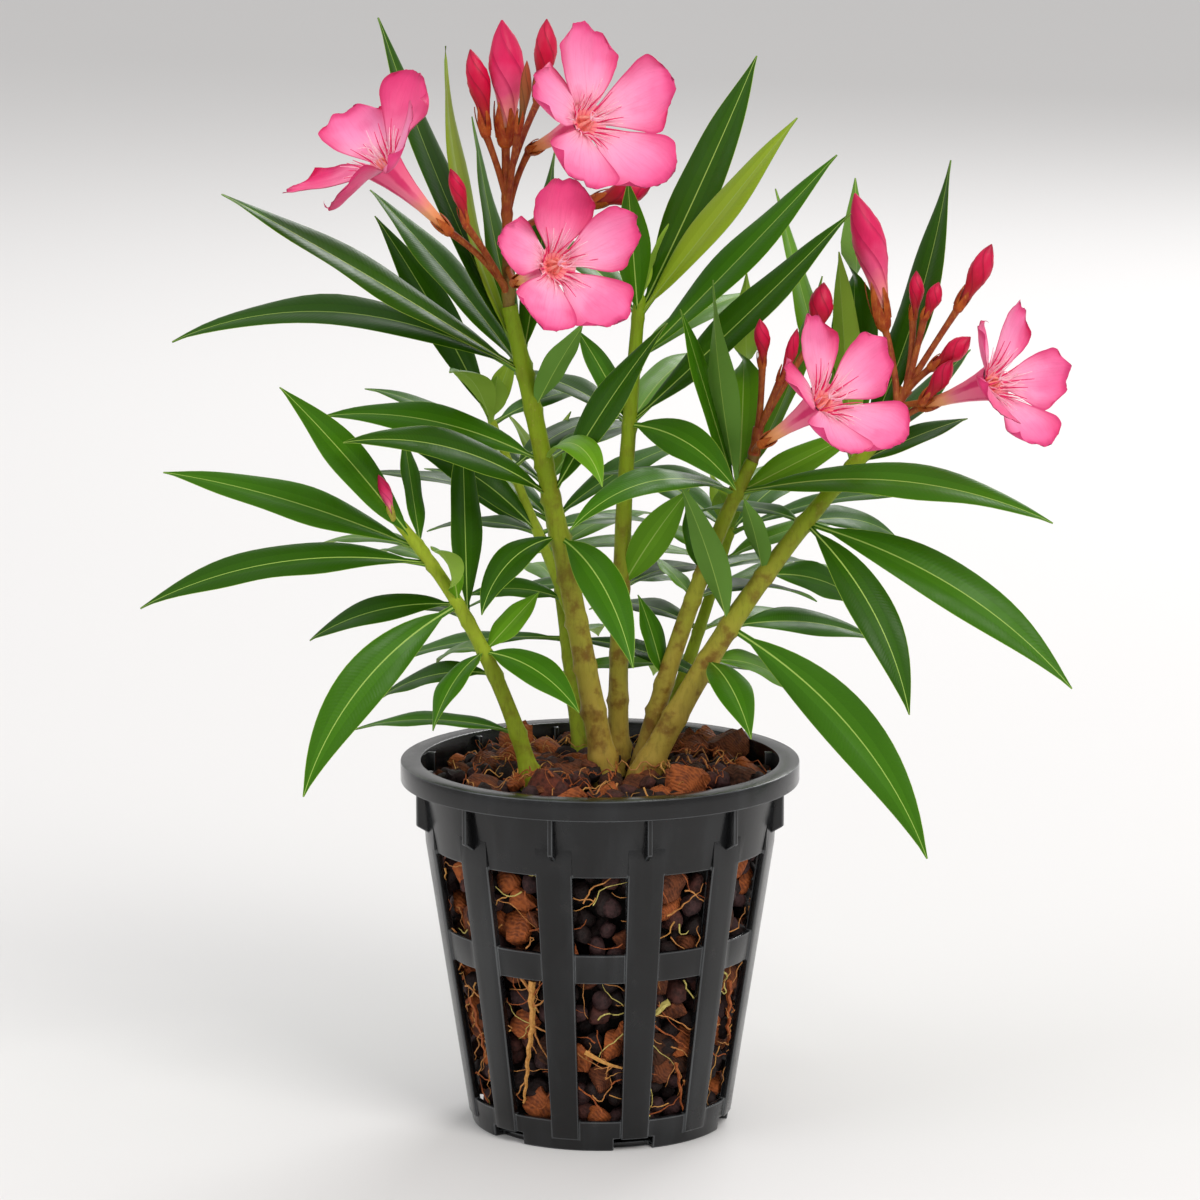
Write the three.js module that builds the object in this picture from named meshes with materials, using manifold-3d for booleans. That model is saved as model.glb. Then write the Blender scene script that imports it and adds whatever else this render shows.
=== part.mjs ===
// A young oleander in a slotted nursery pot: eight shoots with whorled leaves, four of them ending in
// blossom or buds, standing in a pot of bark and lava stone.
// Millimetres, +Z up, the front faces -Y, the origin is the middle of the pot's underside.
import * as THREE from "three";
import { mergeVertices } from "three/addons/utils/BufferGeometryUtils.js";
import Module from "manifold-3d";

const wasm = await Module();
wasm.setup();

// ---- Driving dimensions -------------------------------------------------------------------------

const POT = {
  sides: 48,
  footRadius: 42, // outside, at the underside
  shoulderRadius: 59.5, // outside, just under the rim
  shoulderHeight: 113.8,
  height: 120.5,
  wall: 1.8,
  floor: 2,
  rimRadius: 65,
  rimThickness: 2,
  mouthRadius: 58.5,
  columns: 12,
};
const WINDOW = { halfAngle: 9.15, rows: [[10, 57.7], [67.3, 93.6]] };
const BAR = { halfAngle: 5.6, proud: 0.8, sunk: 0.6, low: 4.5, high: 97 };
const FIN = { width: 2.6, reach: 61.5, low: 98, top: 119 };
const NOTCH = { count: 6, first: 15, halfAngle: 10, height: 4, depth: 3.5 };
const DRAIN = { count: 6, inner: 16, outer: 34, halfWidth: 2.5 };

const MIX = {
  sides: 24,
  clear: 0.3,
  edgeHeight: 109.5,
  shoulderRadius: 48,
  shoulderHeight: 113,
  top: 115,
  flatRadius: 33,
};
const GAP = 0.3;
const GROUND = MIX.top + GAP;

// Each shoot runs from its foot to its tip, bowed sideways by "bow" at half its length.
const SHOOTS = {
  tall: { foot: [2, -6, GROUND], tip: [-29, -8, 270], bow: [1, 0, 0], radius: [4.0, 2.5] },
  middle: { foot: [6, 10, GROUND], tip: [13, 8, 272], bow: [-2, 0, 0], radius: [3.4, 2.0] },
  inner: { foot: [13, 2, GROUND], tip: [49, -2, 219], bow: [-2, 0, 3], radius: [3.3, 2.2] },
  outer: { foot: [13.5, -9, GROUND], tip: [91, 4, 226], bow: [-3, 0, 5], radius: [4.2, 2.2] },
  low: { foot: [-22, -14, GROUND], tip: [-66, -16, 203], bow: [5, 0, 3], radius: [2.8, 1.8] },
  side: { foot: [-7, -6.5, 163], tip: [-36, 24, 229], bow: [0, 5, 0], radius: [1.9, 1.3] },
  back: { foot: [-6, 24, GROUND], tip: [-18, 56, 205], bow: [0, -5, 0], radius: [2.6, 1.5] },
  rear: { foot: [18, 19, GROUND], tip: [44, 54, 188], bow: [0, -5, 0], radius: [2.6, 1.5] },
};
const STRAIGHT = 0.25; // the longest straight length of a bowed shoot, as a share of the shoot
const FLARE = { share: 0.35, fade: 0.05 }; // the root flare, as a share of the radius, and how fast it dies out

// The bare lower length of each shoot, as shares of its whole length.
const STEMS = [
  { name: "tall_stem", shoot: "tall", span: [0, 0.48] },
  { name: "middle_stem", shoot: "middle", span: [0, 0.34] },
  { name: "inner_stem", shoot: "inner", span: [0, 0.23] },
  { name: "outer_stem", shoot: "outer", span: [0, 0.26] },
  { name: "low_stem", shoot: "low", span: [0, 0.13] },
  { name: "back_stem", shoot: "back", span: [0, 0.3] },
  { name: "rear_stem", shoot: "rear", span: [0, 0.3] },
];

// A mass is the leafy length of a shoot. Each whorl is the place on the shoot and its leaves, a leaf being
// [azimuth, rise, droop, length, face], angles in degrees: it leaves the shoot at "rise" above the level,
// bends down by "droop" towards its tip, and turns its face "face" degrees from the sky to the front.
const MASSES = [
  { name: "tall_lower_leaves", shoot: "tall", span: [0.48, 0.745], whorls: [
    [0.514, [-140, 1, 75, 42, 30], [-62, -9, 55, 63, 80]],
    [0.598, [-152, 36, 40, 79, 40], [-30, 59, 10, 73, 35]],
    [0.671, [168, 26, 35, 76, 35], [-60, 47, 110, 44, 30]],
  ] },
  { name: "tall_upper_leaves", shoot: "tall", span: [0.745, 1.0], whorls: [
    [0.782, [-40, 59, 10, 37, -15]],
    [0.858, [175, 30, 55, 119, 25], [-168, 34, 5, 114, 25], [140, 44, 10, 86, 5]],
    [0.88, [150, 59, -10, 121, 0], [165, 63, -28, 105, 0], [114, 56, -12, 86, -20], [73, 58, -8, 74, -20]],
  ] },
  { name: "middle_lower_leaves", shoot: "middle", span: [0.34, 0.79], whorls: [
    [0.38, [-28, 59, 10, 43, 80]],
    [0.726, [-9, 43, -3, 100, 30], [-48, 4, 45, 54, 65], [150, 61, 10, 36, 15]],
  ] },
  { name: "middle_upper_leaves", shoot: "middle", span: [0.79, 1.0], whorls: [
    [0.85, [14, 43, -3, 95, 20]],
    [0.95, [-20, 51, 0, 85, 30], [25, 61, -4, 93, 25], [-100, 66, 0, 51, 30]],
  ] },
  { name: "inner_lower_leaves", shoot: "inner", span: [0.23, 0.74], whorls: [
    [0.267, [150, 75, 10, 30, 5]],
    [0.534, [135, 39, 15, 21, -10]],
    [0.608, [120, 63, 0, 23, -10]],
  ] },
  { name: "inner_upper_leaves", shoot: "inner", span: [0.74, 1.0], whorls: [
    [0.883, [-138, 25, 60, 75, 25], [-16, 15, 38, 106, 30], [-158, 72, 0, 64, 15], [20, 23, 0, 47, 40]],
    [0.902, [-125, 71, -14, 71, 5], [84, 53, -30, 73, -20], [36, 52, -24, 75, -5]],
  ] },
  { name: "outer_lower_leaves", shoot: "outer", span: [0.26, 0.505], whorls: [
    [0.309, [-75, 1, 40, 53, 15], [47, -4, 40, 51, 40]],
    [0.403, [-24, -26, 42, 101, 80], [30, 4, 30, 58, 35], [-145, 75, 15, 53, -10]],
  ] },
  { name: "outer_middle_leaves", shoot: "outer", span: [0.505, 0.795], whorls: [
    [0.553, [40, -3, 35, 47, 55], [-120, 71, 20, 31, 10]],
    [0.712, [-45, -30, 45, 75, 40], [-12, -14, 35, 103, 50], [52, 1, 30, 54, 45]],
  ] },
  { name: "outer_upper_leaves", shoot: "outer", span: [0.795, 1.0], whorls: [
    [0.843, [50, -9, 10, 27, 45]],
    [0.9, [20, 23, 10, 42, 20], [49, 27, 0, 69, -5], [46, 52, -26, 107, -5], [88, 65, -8, 96, -20],
      [103, 73, 0, 70, -20], [116, 52, -10, 101, -20]],
  ] },
  { name: "low_lower_leaves", shoot: "low", span: [0.13, 0.545], whorls: [
    [0.17, [165, 12, 30, 56, 10]],
    [0.38, [147, 0, 35, 48, 30]],
    [0.46, [-117, -6, 50, 41, -20], [-44, 3, 45, 46, 45], [30, 41, 0, 27, 25], [114, -1, 30, 43, 40]],
  ] },
  { name: "low_middle_leaves", shoot: "low", span: [0.545, 0.745], whorls: [
    [0.58, [95, 68, 0, 66, -20]],
    [0.64, [160, 0, 35, 55, 35], [-145, -20, 50, 84, 80], [-100, 61, 60, 45, 45]],
  ] },
  { name: "low_upper_leaves", shoot: "low", span: [0.745, 1.0], whorls: [
    [0.8, [-174, 10, 38, 96, 30]],
    [0.86, [170, 22, 15, 88, 35], [110, 63, 0, 41, -20]],
    [0.89, [-150, 52, 8, 72, 45]],
  ] },
  { name: "side_leaves", shoot: "side", span: [0, 1.0], whorls: [
    [0.15, [162, 17, 40, 35, 25]],
    [0.45, [169, 48, 35, 56, 35]],
    [0.75, [150, 38, 35, 62, 5]],
    [0.97, [165, 64, 10, 78, 25], [-110, 58, 60, 46, 15]],
  ] },
  { name: "back_lower_leaves", shoot: "back", span: [0.3, 0.67], whorls: [[0.43], [0.59]] },
  { name: "back_upper_leaves", shoot: "back", span: [0.67, 1.0], whorls: [[0.74], [0.84], [0.96]] },
  { name: "rear_lower_leaves", shoot: "rear", span: [0.3, 0.67], whorls: [[0.41], [0.57]] },
  { name: "rear_upper_leaves", shoot: "rear", span: [0.67, 1.0], whorls: [[0.74], [0.85], [0.97]] },
];

// Blossom stands on a stalk that carries on from its shoot's tip. Positions are measured from that tip: each
// flower or bud joins the stalk at the share "at", its calyx starts at "base" and it opens, or ends, at "front".
const HEADS = [
  { name: "tall_blossom", shoot: "tall", stalk: [-1, 0, 52], flowers: [
    { at: 0.08, base: [-17, -20, 25], front: [-40, -26, 49], across: 57, spin: 47 },
    { at: 0.55, base: [3, 6, 48], front: [26, -18, 61], across: 57, spin: 68 },
    { at: 0.22, base: [1.5, -11, 8.5], front: [16, -39, 18], across: 49, spin: 64 },
  ], buds: [
    { at: 0.66, base: [-7, -2, 54], front: [-12, -3, 82], radius: 3.7 },
    { at: 1.0, base: [-1, 0, 51], front: [-2, 0, 91], radius: 5.7 },
    { at: 0.75, base: [9, 16, 63], front: [12, 18, 90], radius: 3.7 },
    { at: 0.58, base: [3, -7, 55], front: [6, -10, 79], radius: 1.9 },
    { at: 0.05, base: [-13, -18, 27], front: [-18, -20, 46], radius: 2.5 },
    { at: 0.4, base: [25, 24, 30], front: [46, 24, 37], radius: 4.5 },
  ] },
  { name: "inner_blossom", shoot: "inner", stalk: [2, -1, 11], flowers: [
    { at: 0.2, base: [2, -13, 7], front: [23, -34, 25], across: 50, spin: 60 },
  ], buds: [
    { at: 1.0, base: [3, -4, 30], front: [2, -8, 47], radius: 2.6 },
    { at: 0.7, base: [8, -6, 25], front: [14, -8, 44], radius: 2.0 },
    { at: 0.9, base: [19, 6, 37], front: [23, 6, 57], radius: 4.0 },
  ] },
  { name: "outer_blossom", shoot: "outer", stalk: [8, 3, 15], flowers: [
    { at: 0.05, base: [12, -0.5, 9.5], front: [36, -18, 20.5], across: 47, spin: 56 },
  ], buds: [
    { at: 0.6, base: [1, 7, 34], front: [-9, 7, 78], radius: 5.4 },
    { at: 1.0, base: [10, 6, 36], front: [11, 6, 53], radius: 2.5 },
    { at: 1.0, base: [13, 2, 37], front: [18, 1, 50], radius: 2.6 },
    { at: 1.0, base: [24, 5, 40], front: [35, 3, 62], radius: 3.6 },
    { at: 0.9, base: [15, -1, 22], front: [28, -5, 33], radius: 3.4 },
    { at: 0.6, base: [12, -5, 11], front: [22, -8, 26], radius: 3.0 },
  ] },
  { name: "low_bud", shoot: "low", stalk: [-1.4, 0.2, 2], flowers: [], buds: [
    { at: 1.0, base: [-1.8, 0.8, 3.5], front: [-4, 3, 13], radius: 2.4 },
  ] },
];
const STALK = { radius: 1.9, tip: 1.3, pedicel: 1.0 };
const FLOWER = { throat: 6.5, mouth: 4, cup: 14, petals: 5, petalWidth: 0.42, broadest: 0.72, thickness: 0.9 };

const LEAF = { narrow: 8, widening: 0.09, fold: 8, thickness: 0.012, thinnest: 0.8, stalk: 0.13, bend: 1.15 };

// Filling leaves grow at every whorl, towards the back of the front shoots and all round the back ones, by
// a seeded rule, and one that would come too near its neighbours is left out.
const FILL = {
  seed: 20,
  front: [50, 130],
  back: [-20, 25, 70, 115, 160, 205],
  spread: 18,
  rise: [-14, 30],
  riseHeights: { front: [130, 270], back: [130, 200] },
  length: [50, 76],
  droop: 30,
  face: 10,
  clear: 4.5,
  reach: { side: 130, back: 112, low: 122, high: 318 },
};

// ---- Helpers ------------------------------------------------------------------------------------

const rad = THREE.MathUtils.degToRad;
const mix = THREE.MathUtils.lerp;
const vec = (p) => new THREE.Vector3(...p);
const UP = new THREE.Vector3(0, 0, 1);
const LATHE_AXIS = new THREE.Vector3(0, 1, 0);

// A sequence of numbers from 0 to 1, the same for the same seed.
function dice(seed) {
  let state = seed;
  return () => {
    state = (state * 48271) % 2147483647;
    return state / 2147483647;
  };
}

// A closed geometry as a solid for joining and cutting.
function solidOf(geometry) {
  const bare = geometry.clone();
  bare.deleteAttribute("normal");
  bare.deleteAttribute("uv");
  const merged = mergeVertices(bare, 1e-4);
  return new wasm.Manifold(
    new wasm.Mesh({
      numProp: 3,
      vertProperties: new Float32Array(merged.getAttribute("position").array),
      triVerts: new Uint32Array(merged.index.array),
    }),
  );
}

// A solid back as a geometry.
function geometryOf(solid) {
  const mesh = solid.getMesh();
  return new THREE.BufferGeometry()
    .setAttribute("position", new THREE.BufferAttribute(mesh.vertProperties, 3))
    .setIndex(new THREE.BufferAttribute(mesh.triVerts, 1));
}

const join = (solids) => solids.reduce((whole, piece) => whole.add(piece));

// Moves every vertex of a geometry to where "place" puts it.
function warp(geometry, place) {
  const at = geometry.getAttribute("position");
  for (let i = 0; i < at.count; i++) {
    const p = place(at.getX(i), at.getY(i), at.getZ(i));
    at.setXYZ(i, p.x, p.y, p.z);
  }
  return geometry;
}

// A profile of [radius, height] pairs turned about the Z axis.
function turned(profile, sides) {
  const points = profile.map(([r, z]) => new THREE.Vector2(r, z));
  return new THREE.LatheGeometry(points, sides).rotateX(Math.PI / 2);
}

// ---- Pot ----------------------------------------------------------------------------------------

const wallRadius = (z) => mix(POT.footRadius, POT.shoulderRadius, z / POT.shoulderHeight);

// A block of the pot's wall zone: "angle" is measured from the front, and the radii are given at height z.
function sector(angle, halfAngle, low, high, inner, outer) {
  return warp(new THREE.BoxGeometry(1, 1, 1), (x, y, z) => {
    const height = z > 0 ? high : low;
    const radius = y < 0 ? outer(height) : inner(height);
    const turn = rad(angle + 2 * x * halfAngle);
    return new THREE.Vector3(radius * Math.sin(turn), -radius * Math.cos(turn), height);
  });
}

function potShell() {
  const lipTop = POT.height;
  const lip = POT.rimRadius;
  const under = lipTop - POT.rimThickness;
  const floorRadius = wallRadius(POT.floor) - POT.wall;
  return turned([
    [0, 0],
    [POT.footRadius - 0.6, 0],
    [POT.footRadius, 0.6],
    [POT.shoulderRadius, POT.shoulderHeight],
    [POT.shoulderRadius + 0.5, under],
    [lip - POT.rimThickness, under],
    [lip - POT.rimThickness + 0.3, POT.shoulderHeight],
    [lip, POT.shoulderHeight],
    [lip - 0.3, lipTop - 0.9],
    [lip - 1, lipTop],
    [POT.mouthRadius + 0.5, lipTop],
    [POT.mouthRadius, lipTop - 0.7],
    [POT.shoulderRadius - POT.wall, POT.shoulderHeight],
    [floorRadius, POT.floor],
    [0, POT.floor],
  ], POT.sides);
}

// A fin that carries the rim above each bar.
function rimFin(angle) {
  const root = wallRadius(FIN.low) - 1;
  const shape = new THREE.Shape([
    new THREE.Vector2(root, FIN.low - 1.5),
    new THREE.Vector2(root + 1.5, FIN.low),
    new THREE.Vector2(FIN.reach, FIN.low + 3.5),
    new THREE.Vector2(FIN.reach, FIN.top),
    new THREE.Vector2(root + 1.5, FIN.top),
  ]);
  return new THREE.ExtrudeGeometry(shape, { depth: FIN.width, bevelEnabled: false })
    .translate(0, 0, -FIN.width / 2)
    .rotateX(Math.PI / 2)
    .rotateZ(rad(angle - 90));
}

function pot() {
  const pitch = 360 / POT.columns;
  let solid = solidOf(potShell());
  for (let i = 0; i < POT.columns; i++) {
    const barAngle = (i + 0.5) * pitch;
    const outside = (z) => wallRadius(z) + BAR.proud;
    const inside = (z) => wallRadius(z) - BAR.sunk;
    solid = solid
      .add(solidOf(sector(barAngle, BAR.halfAngle, BAR.low, BAR.high, inside, outside)))
      .add(solidOf(rimFin(barAngle)));
    for (const [low, high] of WINDOW.rows) {
      const near = (z) => wallRadius(z) - 2 * POT.wall;
      const far = (z) => wallRadius(z) + 2;
      solid = solid.subtract(solidOf(sector(i * pitch, WINDOW.halfAngle, low, high, near, far)));
    }
  }
  for (let i = 0; i < NOTCH.count; i++) {
    const angle = NOTCH.first + (i * 360) / NOTCH.count;
    const near = () => POT.footRadius - NOTCH.depth;
    const far = () => POT.footRadius + 4;
    solid = solid.subtract(solidOf(sector(angle, NOTCH.halfAngle, -1, NOTCH.height, near, far)));
  }
  for (let i = 0; i < DRAIN.count; i++) {
    const slot = new THREE.BoxGeometry(DRAIN.outer - DRAIN.inner, 2 * DRAIN.halfWidth, 3 * POT.floor)
      .translate((DRAIN.outer + DRAIN.inner) / 2, 0, 0)
      .rotateZ(rad((i * 360) / DRAIN.count));
    solid = solid.subtract(solidOf(slot));
  }
  return geometryOf(solid);
}

// The bark and stone that fill the pot, heaped a little in the middle.
function pottingMix() {
  const inside = (z) => wallRadius(z) - POT.wall - MIX.clear;
  return turned([
    [0, POT.floor + MIX.clear],
    [inside(POT.floor + MIX.clear), POT.floor + MIX.clear],
    [inside(MIX.edgeHeight), MIX.edgeHeight],
    [MIX.shoulderRadius, MIX.shoulderHeight],
    [MIX.flatRadius, MIX.top],
    [0, MIX.top],
  ], MIX.sides);
}

// ---- Stems and leaves ---------------------------------------------------------------------------

// A shoot as a curve with a radius that falls from the flared foot to the tip.
function shootOf(name) {
  const { foot, tip, bow, radius } = SHOOTS[name];
  const at = (t) => vec(foot).lerp(vec(tip), t).addScaledVector(vec(bow), 4 * t * (1 - t));
  return {
    at,
    along: (t) => at(t + 0.01).sub(at(t - 0.01)).normalize(),
    radius: (t) => mix(radius[0], radius[1], t) * (1 + (foot[2] === GROUND ? FLARE.share * Math.exp(-t / FLARE.fade) : 0)),
    length: vec(foot).distanceTo(vec(tip)),
  };
}

// The length of a shoot from t0 to t1, cut level where it starts at the foot.
function limb(shoot, t0, t1, sides, steps) {
  return warp(new THREE.CylinderGeometry(1, 1, 1, sides, steps), (x, y, z) => {
    const t = mix(t0, t1, y + 0.5);
    const way = t < 0.001 ? UP.clone() : shoot.along(t);
    const across = new THREE.Vector3(1, 0, 0).addScaledVector(way, -way.x).normalize();
    const behind = across.clone().cross(way);
    const r = shoot.radius(t);
    return shoot.at(t).addScaledVector(across, x * r).addScaledVector(behind, z * r);
  });
}

// The middle line of a leaf as points and, at each, its direction.
function midrib(base, [azimuth, rise, droop, length], steps) {
  const points = [base.clone()];
  for (let i = 0; i < steps; i++) {
    const elevation = rad(rise - droop * ((i + 0.5) / steps) ** LEAF.bend);
    const level = Math.cos(elevation);
    const way = new THREE.Vector3(level * Math.cos(rad(azimuth)), level * Math.sin(rad(azimuth)), Math.sin(elevation));
    points.push(points[i].clone().addScaledVector(way, length / steps));
  }
  return points.map((point, i) => ({
    point,
    way: points[Math.min(i + 1, steps)].clone().sub(points[Math.max(i - 1, 0)]).normalize(),
  }));
}

// Half of a leaf's width at the share s of its length, as a share of its widest half.
function outline(s) {
  if (s <= 0.06) return LEAF.stalk;
  const u = (s - 0.06) / 0.94;
  return Math.max(LEAF.stalk * (1 - u) ** 3, Math.sin(Math.PI * u ** 0.9), 0.03);
}

// A leaf's frame at each step: where it is, which way is across and which way its face looks.
function bladeFrames(base, leaf, steps) {
  const face = rad(leaf[4]);
  return midrib(base, leaf, steps).map(({ point, way }, i) => {
    const normal = new THREE.Vector3(0, -Math.sin(face), Math.cos(face));
    normal.addScaledVector(way, -normal.dot(way)).normalize();
    const half = ((LEAF.narrow + LEAF.widening * leaf[3]) / 2) * outline(i / steps);
    return { point, normal, across: way.clone().cross(normal), half };
  });
}

const LEAF_STEPS = 5;

// A leaf is a long blade of diamond section, folded up a little on both sides of its middle line.
function leafBlade(base, leaf) {
  const frames = bladeFrames(base, leaf, LEAF_STEPS);
  const fold = rad(LEAF.fold);
  const thick = Math.max(LEAF.thinnest, LEAF.thickness * leaf[3]);
  return warp(new THREE.CylinderGeometry(1, 1, 1, 4, LEAF_STEPS), (x, y, z) => {
    const s = y + 0.5;
    const frame = frames[Math.round(s * LEAF_STEPS)];
    const lift = (z * thick * (1 - 0.5 * s)) / 2 + Math.abs(x) * frame.half * Math.sin(fold);
    return frame.point.clone()
      .addScaledVector(frame.across, x * frame.half * Math.cos(fold))
      .addScaledVector(frame.normal, lift);
  });
}

// Points all over a leaf past its root, to keep other leaves off it.
function leafPoints(base, leaf) {
  const steps = 20;
  return bladeFrames(base, leaf, steps).slice(steps / 5).flatMap((frame) =>
    [-1, -0.67, -0.33, 0, 0.33, 0.67, 1].map((x) => ({
      point: frame.point.clone().addScaledVector(frame.across, x * frame.half),
      radius: 0,
    })),
  );
}

// ---- Blossom ------------------------------------------------------------------------------------

// A lathed shape that stands on the origin, aimed from one point at another.
function aimed(geometry, from, to) {
  const turn = new THREE.Quaternion().setFromUnitVectors(LATHE_AXIS, to.clone().sub(from).normalize());
  return geometry.applyQuaternion(turn).translate(from.x, from.y, from.z);
}

// A straight tapering stalk.
function stalk(from, to, r0, r1, sides) {
  const length = from.distanceTo(to);
  return aimed(new THREE.CylinderGeometry(r1, r0, length, sides, 1).translate(0, length / 2, 0), from, to);
}

// A closed bud on its calyx: shares of the radius at shares of the length.
const BUD_PROFILE = [[0, 0], [0.4, 0], [0.58, 0.2], [0.55, 0.36], [1, 0.62], [0.72, 0.83], [0.12, 0.99], [0, 1]];

function bud(from, to, radius) {
  const length = from.distanceTo(to);
  const profile = BUD_PROFILE.map(([r, h]) => new THREE.Vector2(r * radius, h * length));
  return aimed(new THREE.LatheGeometry(profile, 6), from, to);
}

// The calyx and the tube that widens to the throat, closed at the throat.
function flowerTube(length) {
  const profile = [[0, 0], [1.6, 0], [2.6, 0.2], [2.3, 0.38], [3.4, 0.6], [FLOWER.throat, 0.97], [0, 0.86]];
  return new THREE.LatheGeometry(profile.map(([r, h]) => new THREE.Vector2(r, h * length)), 8);
}

const PETAL_STEPS = 4;

// A petal in the flower's own frame, the flower opening along +Y: it runs out and a little forward from the
// throat, narrow at its root and broad and blunt at its end.
function petal(length, reach, angle) {
  return warp(new THREE.CylinderGeometry(1, 1, 1, 4, PETAL_STEPS), (x, y, z) => {
    const s = y + 0.5;
    const out = mix(FLOWER.mouth, reach, s);
    const widening = 0.15 + 0.85 * Math.sin((Math.PI / 2) * Math.min(1, s / FLOWER.broadest)) ** 1.4;
    const rounding = 1 - 0.3 * Math.max(0, (s - FLOWER.broadest) / (1 - FLOWER.broadest)) ** 2;
    const half = reach * FLOWER.petalWidth * widening * rounding;
    const height = length * 0.92 + FLOWER.cup * s ** 0.7 - z * (FLOWER.thickness / 2) * (1 - 0.4 * s);
    return new THREE.Vector3(out, height, -x * half).applyAxisAngle(LATHE_AXIS, rad(angle));
  });
}

function flower(from, to, across, spin) {
  const length = from.distanceTo(to);
  const pieces = [solidOf(flowerTube(length))];
  for (let k = 0; k < FLOWER.petals; k++)
    pieces.push(solidOf(petal(length, across / 2, spin + (k * 360) / FLOWER.petals)));
  return aimed(geometryOf(join(pieces)), from, to);
}

function blossom({ shoot: name, stalk: rise, flowers, buds }) {
  const shoot = shootOf(name);
  const tip = shoot.at(1);
  const end = tip.clone().add(vec(rise));
  const thick = Math.min(STALK.radius, shoot.radius(1));
  const lean = shoot.along(1).angleTo(vec(rise));
  const start = tip.clone().addScaledVector(shoot.along(1), GAP + thick * Math.sin(lean));
  const on = (at) => start.clone().lerp(end, at);
  const pieces = [stalk(start, end, thick, STALK.tip, 6)];
  const keepOff = [0, 0.25, 0.5, 0.75, 1].map((t) => ({ point: on(t), radius: STALK.radius }));
  for (const { at, base, front, across, spin } of flowers) {
    const from = tip.clone().add(vec(base));
    const to = tip.clone().add(vec(front));
    const stub = to.clone().sub(from).normalize();
    pieces.push(stalk(on(at), from.clone().addScaledVector(stub, 1.5), STALK.pedicel, STALK.pedicel, 4));
    pieces.push(flower(from, to, across, spin));
    keepOff.push({ point: to, radius: across / 2 }, { point: from, radius: 4 });
  }
  for (const { at, base, front, radius } of buds) {
    const from = tip.clone().add(vec(base));
    const to = tip.clone().add(vec(front));
    const stub = to.clone().sub(from).normalize();
    pieces.push(stalk(on(at), from.clone().addScaledVector(stub, 1.5), STALK.pedicel, STALK.pedicel * 0.9, 4));
    pieces.push(bud(from, to, radius));
    keepOff.push({ point: from, radius }, { point: from.clone().lerp(to, 0.6), radius }, { point: to, radius: 1 });
  }
  return { solid: join(pieces.map(solidOf)), keepOff, origin: tip };
}

// ---- Filling leaves -----------------------------------------------------------------------------

function boundsOf(points) {
  return new THREE.Box3().setFromPoints(points.map((p) => p.point));
}

// Everything that a filling leaf keeps off, in groups with a box round each.
class Neighbours {
  constructor() {
    this.groups = [];
  }

  add(points) {
    const box = boundsOf(points).expandByScalar(FILL.clear + Math.max(...points.map((p) => p.radius)));
    this.groups.push({ box, points });
  }

  clearOf(points) {
    const box = boundsOf(points);
    return this.groups.filter((group) => group.box.intersectsBox(box)).every((group) =>
      group.points.every((q) => points.every((p) => p.point.distanceTo(q.point) > FILL.clear + q.radius)),
    );
  }
}

function insideReach(points) {
  const { side, back, low, high } = FILL.reach;
  return points.every(({ point }) => Math.abs(point.x) < side && point.y < back && point.z > low && point.z < high);
}

// The filling leaves of one whorl that have room.
function fillWhorl(mass, at, roll, neighbours) {
  const base = shootOf(mass.shoot).at(at);
  const behind = mass.shoot === "back" || mass.shoot === "rear";
  const [lowest, highest] = behind ? FILL.riseHeights.back : FILL.riseHeights.front;
  const grown = [];
  for (const azimuth of behind ? FILL.back : FILL.front) {
    const height = THREE.MathUtils.clamp((base.z - lowest) / (highest - lowest), 0, 1);
    const leaf = [
      azimuth + FILL.spread * (2 * roll() - 1),
      mix(FILL.rise[0], FILL.rise[1], height) + 10 * roll(),
      FILL.droop,
      mix(FILL.length[0], FILL.length[1], roll()),
      FILL.face,
    ];
    const points = leafPoints(base, leaf);
    if (insideReach(points) && neighbours.clearOf(points)) {
      neighbours.add(points);
      grown.push(leaf);
    }
  }
  return grown;
}

// ---- Assembly -----------------------------------------------------------------------------------

const surface = (colour, roughness) => new THREE.MeshStandardMaterial({ color: colour, roughness, metalness: 0 });
const POT_SURFACE = surface("#2a2b2d", 0.5);
const MIX_SURFACE = surface("#5b3a28", 0.95);
const STEM_SURFACE = surface("#7d7a3c", 0.75);
const LEAF_SURFACE = surface("#2f6128", 0.45);
const BLOSSOM_SURFACE = surface("#ee5f8f", 0.6);

// A named mesh whose own origin is its natural foot.
function piece(name, geometry, material, origin = new THREE.Vector3()) {
  const mesh = new THREE.Mesh(geometry.translate(-origin.x, -origin.y, -origin.z), material);
  mesh.name = name;
  mesh.position.copy(origin);
  return mesh;
}

const potGroup = new THREE.Group();
potGroup.add(piece("pot", pot(), POT_SURFACE), piece("potting_mix", pottingMix(), MIX_SURFACE));

const stemGroup = new THREE.Group();
const stems = {};
for (const { name, shoot, span } of STEMS) {
  stems[shoot] = limb(shootOf(shoot), span[0], span[1], 8, 5);
  stemGroup.add(piece(name, stems[shoot].clone(), STEM_SURFACE, shootOf(shoot).at(0)));
}

const neighbours = new Neighbours();
for (const name of Object.keys(SHOOTS)) {
  const shoot = shootOf(name);
  neighbours.add(Array.from({ length: 31 }, (_, i) => ({ point: shoot.at(i / 30), radius: shoot.radius(i / 30) - 2 })));
}
const blossomGroup = new THREE.Group();
for (const head of HEADS) {
  const { solid, keepOff, origin } = blossom(head);
  neighbours.add(keepOff);
  blossomGroup.add(piece(head.name, geometryOf(solid), BLOSSOM_SURFACE, origin));
}
for (const { shoot, whorls } of MASSES)
  for (const [at, ...leaves] of whorls)
    for (const leaf of leaves) neighbours.add(leafPoints(shootOf(shoot).at(at), leaf));

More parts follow.
